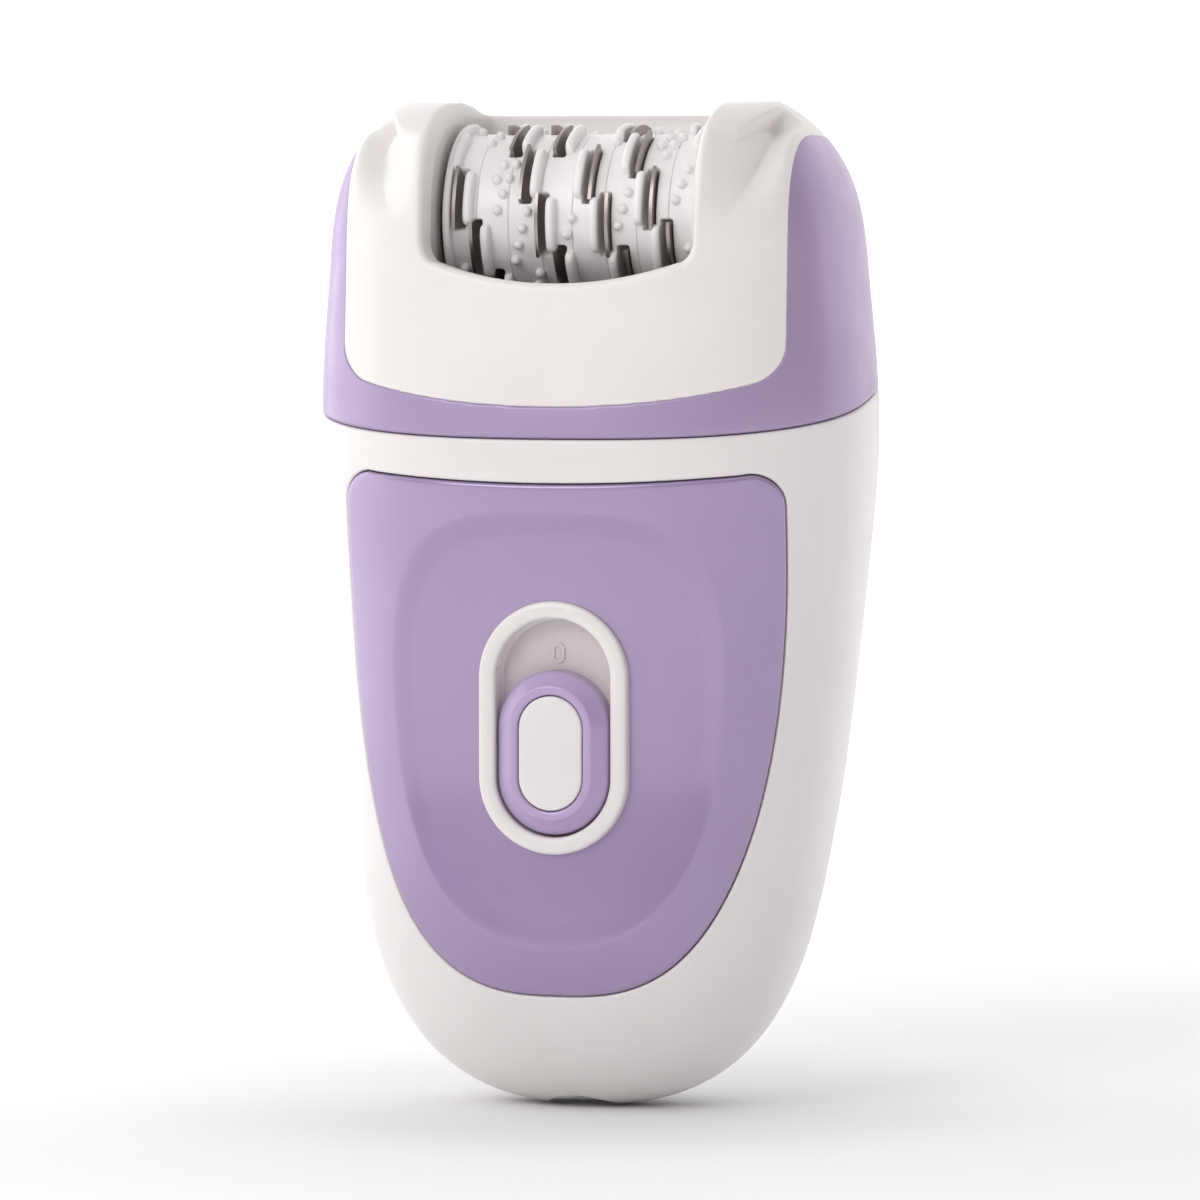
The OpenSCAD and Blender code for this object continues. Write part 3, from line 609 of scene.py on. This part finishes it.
def make_rear_shell():
    """Back of the handle, with the holes for the release button and the screws."""
    cols = 300
    u = np.linspace(-1, 1, cols)
    w = np.concatenate([np.linspace(0.004, 0.985, 190), [0.99, 0.994, 0.997, 0.999, 1]])
    rows = []
    for wk in w:
        z = np.full(cols, 70.0 * wk ** 2)
        for _ in range(8):
            t = math.pi / 2 - u * (math.pi / 2 - part_angle(z))
            z = handle_top(t) * wk ** 2
        p = foot_notch(at_angle(t, np.maximum(z, 1e-4)))
        drop = shell_edge_drop(p, (1 - np.abs(u)) * 45)
        rows.append(p - normals(p) * drop[:, None])
    edge = rows[-1].copy()
    nrm = normals(edge)
    for d, dz in ((1.2, 0), (WALL, 0), (WALL, -2), (WALL, -6)):
        p = edge - nrm * d
        p[:, 2] += dz
        rows.append(p)
    grid = np.array(rows)
    verts = grid.reshape(-1, 3)
    faces = grid_faces(grid.shape[0], cols, False, True)
    verts, faces = punch(verts, faces, (0, BUTTON_Z), BUTTON_R + 0.05, 2.6)
    for s in SCREWS:
        verts, faces = punch(verts, faces, s, SCREW_HOLE_R, 6.0)
    obj = add_mesh("rear_shell_skin", verts, faces, M["white_shell"], "handle")
    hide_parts("rear_shell")
    return obj


# ---- switch --------------------------------------------------------------------
def round_ring(d0, y0, r, steps, start=0, end=90):
    """Quarter round in (inset, y) from a side wall to a front face."""
    return [(d0 + r * (1 - math.cos(a)), y0 + r * (1 - math.sin(a)))
            for a in np.radians(np.linspace(start, end, steps))]


def make_bezel():
    """Rounded ring round the switch, down to the tray behind it."""
    face, mid = BEZEL_Y, BEZEL_RING / 2
    edge = round_ring(0.0, face + 0.06, 0.5, 7)
    prof = [(0.0, face + 2.6), (0.0, face + 1.1)] + edge
    prof += [(mid - 0.3, face + 0.01), (mid, face), (mid + 0.3, face + 0.01)]
    prof += [(BEZEL_RING - d, y) for d, y in edge[::-1]]
    prof += [(BEZEL_RING, face + 1.4), (BEZEL_RING, -17.0), (BEZEL_RING + 0.25, -16.9)]
    obj = add_grid("switch_bezel_ring", slot_rings(prof, SWITCH_Z), M["white_trim"],
                   "handle", flip=True)
    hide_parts("switch_bezel")


def make_knob():
    """Slider knob with a raised rim, and the inlay set into it."""
    w, h, face = KNOB_W, KNOB_H, KNOB_Y
    z0 = SWITCH_Z - (BEZEL_H - 2 * BEZEL_RING - h) / 2 + 0.3
    prof = [(0.35, -15.9), (0.0, -16.2), (0.0, face + 1.75)]
    prof += round_ring(0.0, face + 1.2, 0.55, 6, 8, 60)
    prof += [(0.95, face + 0.68), (1.45, face + 0.34)]
    prof += round_ring(1.5, face, 0.45, 5, 45, 90)
    prof += [(2.35, face), (2.6, face + 0.02), (2.74, face + 0.12), (2.78, face + 0.4),
             (2.78, face + 0.9)]
    obj = add_grid("slider_knob_body", slot_rings(prof, z0, 160, w, h), M["lilac_knob"],
                   "slider", flip=True)
    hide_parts("slider_knob")
    wi, hi = w - 2 * INLAY_INSET, h - 2 * INLAY_INSET
    inlay = [(0.0, face + 0.8), (0.0, face + 0.37)] + round_ring(0.0, face, 0.3, 5)
    for k in np.linspace(0.12, 1.0, 12):
        inlay.append((0.3 + (wi / 2 - 0.3) * k, face - 0.06 * (1 - (1 - k) ** 2)))
    cap = add_grid("slider_inlay_face", slot_rings(inlay, z0, 160, wi, hi),
                   M["white_inlay"], "slider", flip=True)
    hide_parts("slider_inlay")


# ---- head -----------------------------------------------------------------------
RIDGE_Z = np.linspace(80, CREST, 1500)
RIDGE_X = section(RIDGE_Z)[0]
ARCH_BASE = 78.0


def ridge(x):
    """Height of the top of the arch at x."""
    return np.interp(np.abs(x), RIDGE_X[::-1], RIDGE_Z[::-1])


def arch(x, s):
    """Head outline over the top: s -1 at the front base, 0 on the ridge, 1 at the back."""
    top = ridge(x)
    z = top - (top - ARCH_BASE) * (1 - np.sin(math.pi / 2 * (1 - np.abs(s))))
    z = np.minimum(z, CREST)
    y = depth_at(x, z, np.where(s < 0, -1, 1))
    return np.stack([x + 0 * y, y, z + 0 * y], -1)


def arch_s(x, z, side):
    """Inverse of arch in height."""
    top = ridge(x)
    k = 1 - np.clip((top - z) / (top - ARCH_BASE), 0, 1)
    return side * (1 - np.arcsin(np.clip(k, -1, 1)) / (math.pi / 2))


def corner_rise(x):
    """How far the cap's lower edge rises at its round corners."""
    r = CAP_CORNER
    over = np.clip(np.abs(x) - (CAP_X - r), 0, r)
    return r - np.sqrt(np.maximum(r * r - over * over, 0))


def base_edge(x, side):
    """s of the cap's lower edge, with its round corners."""
    y = depth_at(x, np.full(np.shape(x), 87.0), side)
    return arch_s(x, band_z(x, y) + corner_rise(x) * 0.999, side)


def window_curve(n):
    """Opening in (x, s): smile at the front, straight sides, straight back rim."""
    pts = []
    for x in np.linspace(WINDOW_L + 1.8, WINDOW_R - 1.8, 40):
        k = (x - (WINDOW_L + WINDOW_R) / 2) / ((WINDOW_R - WINDOW_L) / 2)
        z = WINDOW_Z + WINDOW_RISE * k * k
        pts.append((x, float(arch_s(np.array(x), z, -1))))
    lo = pts[-1][1]
    for a in np.radians(np.linspace(-75, 0, 10)):
        pts.append((WINDOW_R - 1.8 + 1.8 * math.cos(a), lo + 0.055 * (1 + math.sin(a))))
    back = float(back_s(0.0))
    for a in np.radians(np.linspace(0, 90, 10)):
        pts.append((WINDOW_R - 1.2 + 1.2 * math.cos(a), back - 0.03 + 0.03 * math.sin(a)))
    for a in np.radians(np.linspace(90, 180, 10)):
        pts.append((WINDOW_L + 1.2 + 1.2 * math.cos(a), back - 0.03 + 0.03 * math.sin(a)))
    for a in np.radians(np.linspace(180, 255, 10)):
        pts.append((WINDOW_L + 1.8 + 1.8 * math.cos(a), lo + 0.055 * (1 + math.sin(a))))
    return even_xs(np.array(pts), n)


def back_s(x):
    """s at which the back of the arch reaches the window's rear edge."""
    s = np.linspace(0, 0.6, 400)
    y = arch(np.full(400, x), s)[:, 1]
    return np.interp(WINDOW_BACK, y, s)


def even_xs(curve, n):
    """Even spacing in real length for a closed curve in (x, s)."""
    closed = np.concatenate([curve, curve[:1]])
    p = arch(closed[:, 0], closed[:, 1])
    step = np.r_[0, np.cumsum(np.linalg.norm(np.diff(p, axis=0), axis=1))]
    u = np.linspace(0, step[-1], n, endpoint=False)
    return np.stack([np.interp(u, step, closed[:, k]) for k in (0, 1)], -1)


def cap_outline():
    """Lower edge of the cap as a closed curve in (x, s)."""
    pts = []
    xs = CAP_X * np.sin(np.linspace(-math.pi / 2, math.pi / 2, 90))
    for x, s in zip(xs, base_edge(xs, -1)):
        pts.append((x, s))
    sf, sb = pts[-1][1], float(base_edge(np.array([CAP_X]), 1)[0])
    for s in np.linspace(sf, sb, 80)[1:-1]:
        pts.append((CAP_X, s))
    for x, s in zip(xs[::-1], base_edge(xs[::-1], 1)):
        pts.append((x, s))
    for s in np.linspace(sb, sf, 80)[1:-1]:
        pts.append((-CAP_X, s))
    return np.array(pts)


def grid_normals(g):
    """Normals of a ring grid, columns closed."""
    du = np.roll(g, -1, 1) - np.roll(g, 1, 1)
    dv = np.gradient(g, axis=0)
    n = np.cross(du, dv)
    n /= np.maximum(np.linalg.norm(n, axis=-1, keepdims=True), 1e-9)
    out = g - np.array([0, 0, 98.0])
    return n * np.where((n * out).sum(-1, keepdims=True) < 0, -1, 1)


def make_cap():
    """Guard cap as rings from the window's edge out to the cap's lower edge."""
    n = 480
    inner = window_curve(n)
    centre = inner.mean(0)
    stretch = np.array([1.0, 40.0])
    a = np.unwrap(np.arctan2(*((inner - centre) * stretch).T[::-1]))
    outline = cap_outline()
    reach = ray_cut(outline * stretch, centre * stretch, a)
    outer = centre + np.stack([np.cos(a), np.sin(a)], -1) * reach[:, None] / stretch
    ease = np.concatenate([[0, 0.004, 0.01, 0.018, 0.028, 0.04, 0.055, 0.075],
                           np.linspace(0.1, 0.96, 54), [0.972, 0.981, 0.988, 0.993, 0.997, 1]])
    m = inner[None] * (1 - ease)[:, None, None] + outer[None] * ease[:, None, None]
    g = arch(m[..., 0], m[..., 1])
    nrm = grid_normals(g)
    from_window = np.linalg.norm(g - g[:1], axis=-1)
    from_edge = np.linalg.norm(g - g[-1:], axis=-1)
    drop = fillet(from_window, 0.8) + fillet(from_edge, 0.4)
    drop = drop + shoulder_scoop(g)
    skin = g - nrm * drop[..., None]
    rings = [skin[0] - nrm[0] * 1.9, skin[0] - nrm[0] * 0.8] + list(skin)
    for d in (0.5, 1.3, WALL):
        rings.append(g[-1] - nrm[-1] * d)
    rings.append(g[-1] - nrm[-1] * WALL + (g[-8] - g[-1]) * 0.6)
    obj = add_grid("head_cap_skin", np.array(rings), M["white_cap"], "guard_cap", flip=True)
    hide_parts("head_cap")
    for name, side in (("cap_cheek_left", -1), ("cap_cheek_right", 1)):
        make_cheek_wall(name, side)


# line (z, x) along which a shoulder's facet ends
CREASE = np.array([(102, 18.8), (104.6, 20.3), (108.5, 22.7), (110.5, 23.7),
                   (112.9, 24.5), (115, 24.7), (118, 24.2)])


def shoulder_scoop(g):
    """Slanted facet on each shoulder, falling from the window to a soft crease."""
    x, y, z = np.abs(g[..., 0]), g[..., 1], g[..., 2]
    crease = np.interp(z, CREASE[:, 0], CREASE[:, 1])
    start = 17.4
    deep = 2.6 * smooth(103, 112, z)
    inner = np.clip((x - start) / (crease - start), 0, 1) ** 1.15
    outer = 1 - smooth(0, 1, (x - crease) / np.maximum(CAP_X - 0.7 - crease, 0.5))
    below = smooth(0.4, -0.8, z - 114.6 - np.maximum(x - 20.6, 0) * 0.8)
    return deep * np.where(x < crease, inner, outer) * below * smooth(-3.5, -6.5, y)


def make_cheek_wall(name, side):
    """Wall beside the drum, open round the sleeve's disc and down past its tube."""
    x0 = side * CHEEK_WALL_X
    ang = np.radians(np.linspace(-61, 241, 120))
    low = DRUM_Z - 95.5
    down = np.maximum(-np.sin(ang), 1e-6)
    slot = SLEEVE_TUBE_R / np.maximum(np.abs(np.cos(ang)), 1e-6)
    start = np.maximum(np.where(np.sin(ang) < 0, slot, SLEEVE_DISC_R), SLEEVE_DISC_R)
    reach = np.array([wall_reach(x0, math.cos(a), math.sin(a)) for a in ang]) - 0.9
    reach = np.minimum(reach, low / down)
    rows = []
    for k in np.linspace(0, 1, 24):
        r = start + (reach - start) * k
        rows.append([(x0, DRUM_Y + math.cos(a) * d, DRUM_Z + math.sin(a) * d)
                     for a, d in zip(ang, r)])
    back = [(x0 + side * 0.1, p[1], p[2]) for p in rows[0]]
    rows.insert(0, back)
    obj = add_grid(name, np.array(rows), M["white_wall"], "guard_cap", closed=False,
                   flip=side < 0)


def wall_reach(x, c, s):
    """Distance from the drum axis to the outline along a ray in the plane x."""
    r = np.linspace(8, 32, 220)
    y = DRUM_Y + c * r
    z = np.clip(DRUM_Z + s * r, 0.1, 117.99)
    over = (DRUM_Z + s * r > ridge(x)) | (y < depth_at(x, z, -1)) | (y > depth_at(x, z, 1))
    return r[np.argmax(over)] if over.any() else 32.0


def make_head_frame():
    """Lilac band and cheeks, one skin that runs on under the cap."""
    cols, rows = 720, 200
    t = np.linspace(-math.pi, math.pi, cols, endpoint=False)
    base = np.full(cols, SEAM_Z)
    for _ in range(25):
        base = base + 0.8 * (seam_z(at_angle(t, base)[:, 1]) + SEAM_GAP - base)
    top = 117.6
    g = np.array([at_angle(t, base + (top - base) * (1 - (1 - kk) ** 1.25))
                  for kk in np.linspace(0, 1, rows)])
    nrm = normals(g)
    x, y, z = g[..., 0], g[..., 1], g[..., 2]
    above = z - (band_z(x, y) + corner_rise(x))
    within = CAP_X - np.abs(x)
    under = np.minimum(above, within)
    drop = fillet(z - seam_z(y) - SEAM_GAP, 0.3) + 2.45 * smooth(0.12, 0.5, under) + 0.02
    g = g - nrm * drop[..., None]
    # the skin stops a tenon's height above the cap's edge, except along the cheeks
    faces = grid_faces(rows, cols, True)
    tenon = 4.2
    hidden = (above > tenon) & (np.abs(x) < CAP_X - 1.15)
    first = np.argmax(hidden, axis=0)
    for j in np.nonzero(first)[0]:
        i = first[j]
        part = (tenon - above[i - 1, j]) / max(above[i, j] - above[i - 1, j], 1e-6)
        g[i, j] = g[i - 1, j] + (g[i, j] - g[i - 1, j]) * min(max(part, 0.0), 1.0)
    flat = hidden.reshape(-1)
    faces = [f for f in faces if not all(flat[i] for i in f)]
    verts = g.reshape(-1, 3).tolist()
    start = len(verts)
    thick = nrm[0] * 3.4
    for ring in (g[0] - nrm[0] * 1.2, g[0] - thick, g[0] - thick + np.array([0, 0, 5.0])):
        verts += ring.tolist()
    seq = [0, start, start + cols, start + 2 * cols]
    for i in range(3):
        for j in range(cols):
            q = (j + 1) % cols
            faces.append([seq[i] + q, seq[i] + j, seq[i + 1] + j, seq[i + 1] + q])
    obj = add_mesh("head_frame_skin", verts, faces, M["lilac_frame"], "head")
    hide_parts("head_frame")
    for name, side in (("head_wall_left", -1), ("head_wall_right", 1)):
        make_inner_wall(name, side)


def make_inner_wall(name, side):
    """Flat inner face of a cheek, which carries the bearing plate."""
    x0 = side * CHEEK_X
    n = 90
    zs = np.linspace(86, 114.5, n)
    yf = depth_at(np.full(n, x0), zs, -1) + 2.6
    yb = depth_at(np.full(n, x0), zs, 1) - 2.6
    rows = []
    for k in np.linspace(0, 1, 20):
        rows.append(np.stack([np.full(n, x0), yf * (1 - k) + yb * k, zs], -1))
    obj = add_grid(name, np.array(rows), M["lilac_frame"], "head", closed=False)


# ---- drum -------------------------------------------------------------------------
# (x, angle) of one fin of each chain, then every fin that fits on the drum
CHAINS = ((-12.6, 14.4), (-2.5, -3.6), (2.8, -3.6))
FINS = [(x0 - LEAD * k / 10, a0 + ROW_DEG * k) for x0, a0 in CHAINS
        for k in range(-18, 19) if abs(x0 - LEAD * k / 10) < 14.9]


def on_drum(x, r, deg):
    """Point at radius r and angle deg, counted up from the front horizontal."""
    a = np.radians(deg)
    return np.stack([x + 0 * a, DRUM_Y - r * np.cos(a), DRUM_Z + r * np.sin(a)], -1)


def fin_mesh(x, mid):
    """Rib with a round crest and rounded ends along an arc."""
    ang = mid + FIN_SPAN / 2 * np.sin(np.linspace(-math.pi / 2, math.pi / 2, 26))
    end = np.sqrt(np.clip(1 - (np.abs(ang - mid) / (FIN_SPAN / 2)) ** 8, 0, 1)) ** 0.8
    prof = np.radians(np.linspace(0, 180, 11))
    root, low = 9.3, 9.6
    rows = []
    for a, e in zip(ang, end):
        h = low + (FIN_R - low) * e
        half = FIN_W / 2 * (0.55 + 0.45 * e)
        ring = [on_drum(x + half * math.cos(p), h - 0.5 + 0.5 * math.sin(p) ** 0.8, a)
                for p in prof]
        rows.append([on_drum(x + half, root, a)] + ring + [on_drum(x - half, root, a)])
    g = np.array(rows)
    return g.reshape(-1, 3), grid_faces(g.shape[0], g.shape[1], False)


def dome_mesh(x, deg):
    """Small round-topped nub standing on the drum."""
    verts, cols, r = [], 12, 0.58
    radial = on_drum(x, 1.0, deg) - on_drum(x, 0.0, deg)
    side = np.array([1.0, 0, 0])
    along = np.cross(radial, side)
    for a in np.radians([0, 0, 25, 50, 72, 88]):
        h = -0.35 if not verts else 0.25 + r * math.sin(a)
        for b in np.linspace(0, 2 * math.pi, cols, endpoint=False):
            verts.append(on_drum(x, DRUM_R + h, deg) + r * math.cos(a)
                         * (side * math.cos(b) + along * math.sin(b)))
    return np.array(verts), grid_faces(6, cols, True)


def join(parts):
    """One mesh out of several (verts, faces) pairs."""
    verts, faces, start = [], [], 0
    for v, f in parts:
        verts.append(v)
        faces += [[i + start for i in q] for q in f]
        start += len(v)
    return np.concatenate(verts), faces


def hub_skin(x0, x1):
    """Disc rim as a fine height field, with the plate slots sunk into it."""
    xs = np.concatenate([[x0 + 0.02], np.linspace(x0 + 0.1, x1 - 0.1, 44), [x1 - 0.02]])
    deg = np.arange(0, 360, 0.75)
    gx, ga = np.meshgrid(xs, deg, indexing="ij")
    rad = np.full(gx.shape, DRUM_R)
    edge = np.minimum(gx - x0, x1 - gx)
    rad -= 0.10 * (1 - np.clip(edge / 0.12, 0, 1))
    for fx, fa in FINS:
        s = -1 if fx < 0 else 1
        px = fx + s * PLATE_STEP
        if not -15 < px < 15:
            continue
        dx = np.abs(gx - (px - s * PINCH / 2)) - (0.45 + PINCH + 0.16) / 2
        da = (np.abs((ga - fa + 180) % 360 - 180) - 21.5) * math.pi / 180 * DRUM_R
        out = np.hypot(np.maximum(dx + 0.25, 0), np.maximum(da + 0.25, 0)) - 0.25
        rad -= 3.2 * (1 - smooth(-0.1, 0.06, out))
    p = on_drum(gx, rad, ga)
    rim = [on_drum(np.full(len(deg), x), DRUM_BORE, deg) for x in (x0 + 0.02, x1 - 0.02)]
    g = np.concatenate([[rim[0]], p, [rim[1]]])
    return g.reshape(-1, 3), grid_faces(g.shape[0], len(deg), True)


def nub_places():
    """Diagonal rows of nubs in the free ground between the fin chains."""
    out = []
    for x0, a0 in ((-9.1, 6.0), (-0.6, -10.0), (5.6, -4.0), (11.9, 2.0)):
        for k in range(-40, 41):
            if k % 5 == 4:
                continue
            x = x0 + 0.052 * 11 * (k % 5) - LEAD * (k // 5) * 0.1528 + 0.9 * ((k // 5) % 2)
            a = a0 + 11 * (k % 5) + 55 * (k // 5)
            if abs(x) < 14.4 and clear_of_fins(x, a):
                out.append((x, a))
    return out


def clear_of_fins(x, a):
    """True where a nub touches neither a fin nor the slot beside it."""
    for fx, fa in FINS:
        s = -1 if fx < 0 else 1
        da = abs((a - fa + 180) % 360 - 180)
        px = fx + s * PLATE_STEP
        if da < 24 and min(fx, px) - 1.15 < x < max(fx, px) + 1.15:
            return False
    return True


def make_drum():
    """Eight discs, each with its own slots, fins and nubs."""
    nubs = nub_places()
    hub_l = 2 * DRUM_HALF / DISCS
    for i in range(DISCS):
        x0 = -DRUM_HALF + i * hub_l
        x1 = x0 + hub_l
        parts = [hub_skin(x0, x1)]
        parts += [fin_mesh(x, a) for x, a in FINS if x0 <= x < x1]
        parts += [dome_mesh(x, a) for x, a in nubs if x0 <= x < x1]
        if i in (0, DISCS - 1):
            parts.append(end_flange(x0 if i == 0 else x1, 1 if i == 0 else -1))
        verts, faces = join(parts)
        obj = add_mesh("drum_disc_%d" % (i + 1), verts, faces, M["drum_white"], "drum")
        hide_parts("drum_hub_%d" % (i + 1))


def end_flange(x, way):
    """Raised rim at an end of the drum."""
    deg = np.arange(0, 360, 2.0)
    prof = [(0.02, DRUM_BORE), (0.02, 10.9), (0.1, 11.1), (0.25, 11.2), (0.6, 11.2),
            (0.78, 11.1), (0.88, 10.9), (0.9, 9.9)]
    g = np.array([on_drum(np.full(len(deg), x + way * d), r, deg) for d, r in prof])
    return g.reshape(-1, 3), grid_faces(len(prof), len(deg), True)


make_front_shell()
make_rear_shell()
make_panel()
make_bezel()
make_knob()
make_head_frame()
make_cap()
make_drum()

for name in ("plates_left", "plates_right"):
    soften(frame["nodes"][name], 0.09)
for name in ("release_button", "switch_tray", "sleeve_left", "sleeve_right", "head_cradle",
             "bearing_left", "bearing_right", "top_deck", "dc_socket", "motor_can",
             "slider_carrier", "chassis"):
    soften(frame["nodes"][name], 0.15)


# ---- studio -----------------------------------------------------------------------
def make_studio():
    """Pale floor that curves up into a backdrop, well behind the part, with a painted shadow
    round the part's foot.
    """
    mat, tree, bsdf = base_material("studio_paper")
    coord = tree.nodes.new("ShaderNodeTexCoord")
    flat = tree.nodes.new("ShaderNodeVectorMath")
    flat.operation = "LENGTH"
    tree.links.new(coord.outputs["Object"], flat.inputs[0])
    # painted shadow: the floor's colour darkens from 0.96 to 0.82 towards the part's foot, within
    # 7 cm of the middle
    tint = ramp(tree, flat.outputs["Value"], grey(0.82), grey(0.96), (0.02, 0.07))
    tint.color_ramp.interpolation = "EASE"
    tree.links.new(tint.outputs["Color"], bsdf.inputs["Base Color"])
    # painted shadow: the floor's glow fades to nothing within 8 cm of the part's foot, so less
    # light bounces up under the part
    glow = ramp(tree, flat.outputs["Value"], grey(0.0), grey(0.45), (0.08, 0.7))
    tree.links.new(glow.outputs["Color"], bsdf.inputs["Emission Color"])
    socket(bsdf, "Emission Strength", 1.0)
    socket(bsdf, "Roughness", 0.9)
    prof = [(-1500, 0), (700, 0)]
    for a in np.radians(np.linspace(0, 90, 20)):
        prof.append((700 + 600 * math.sin(a), 600 * (1 - math.cos(a))))
    prof.append((1300, 2500))
    g = np.array([[(x, y, z) for x in np.linspace(-3000, 3000, 3)] for y, z in prof])
    floor = new_object("floor", g.reshape(-1, 3), grid_faces(len(prof), 3, False), mat)


def area_light(name, place, size, power, colour=(1, 1, 1)):
    data = bpy.data.lights.new(name, "AREA")
    data.shape = "RECTANGLE"
    data.size, data.size_y = size
    data.energy = power
    data.color = colour
    obj = bpy.data.objects.new(name, data)
    obj.location = place
    aim = Vector((0, 0, 0.06)) - Vector(place)
    obj.rotation_euler = aim.to_track_quat("-Z", "Y").to_euler()
    bpy.context.collection.objects.link(obj)


def around(azimuth, elevation, distance):
    """Place at a distance from the middle of the part, azimuth 0 in front of it."""
    a, e = math.radians(azimuth), math.radians(elevation)
    return (distance * math.sin(a) * math.cos(e), -distance * math.cos(a) * math.cos(e),
            0.06 + distance * math.sin(e))


def make_lights():
    """Big soft light on the left, a small key, a faint fill, and the room's glow."""
    area_light("softbox_left", around(-94, 13, 1.0), (1.3, 1.0), 5.6)
    area_light("key", around(-22, 28, 1.0), (0.5, 0.5), 2.6, (1, 0.99, 0.98))
    area_light("fill", around(110, 5, 1.0), (0.5, 0.9), 0.5, (1, 0.96, 0.94))
    world = bpy.data.worlds.new("studio_air")
    world.use_nodes = True
    tree = world.node_tree
    sky = tree.nodes["Background"]
    coord = tree.nodes.new("ShaderNodeTexCoord")
    split = tree.nodes.new("ShaderNodeSeparateXYZ")
    tree.links.new(coord.outputs["Generated"], split.inputs["Vector"])
    side = ramp(tree, split.outputs["X"], grey(1.0), grey(0.75), (0.1, 0.8))
    dome = ramp(tree, split.outputs["Z"], (0.30, 0.275, 0.27, 1), (0.85, 0.85, 0.86, 1),
                (0.05, 0.95))
    mix = tree.nodes.new("ShaderNodeMix")
    mix.data_type = "RGBA"
    mix.blend_type = "MULTIPLY"
    mix.inputs["Factor"].default_value = 1.0
    tree.links.new(dome.outputs["Color"], mix.inputs["A"])
    tree.links.new(side.outputs["Color"], mix.inputs["B"])
    tree.links.new(mix.outputs["Result"], sky.inputs["Color"])
    sky.inputs["Strength"].default_value = 1.0
    bpy.context.scene.world = world


def make_camera():
    """Long lens from the right of the front, slightly above the middle."""
    azimuth, elevation, distance = math.radians(16.5), math.radians(3.0), 0.9
    target = Vector((0, 0, 0.0592))
    away = Vector((math.sin(azimuth) * math.cos(elevation),
                   -math.cos(azimuth) * math.cos(elevation), math.sin(elevation)))
    data = bpy.data.cameras.new("camera")
    data.sensor_width = 36
    data.lens = 36 * distance / 0.142
    obj = bpy.data.objects.new("camera", data)
    obj.location = target + away * distance
    obj.rotation_euler = (-away).to_track_quat("-Z", "Y").to_euler()
    bpy.context.collection.objects.link(obj)
    bpy.context.scene.camera = obj


make_studio()
make_lights()
make_camera()
bpy.context.scene.view_settings.view_transform = "Standard"
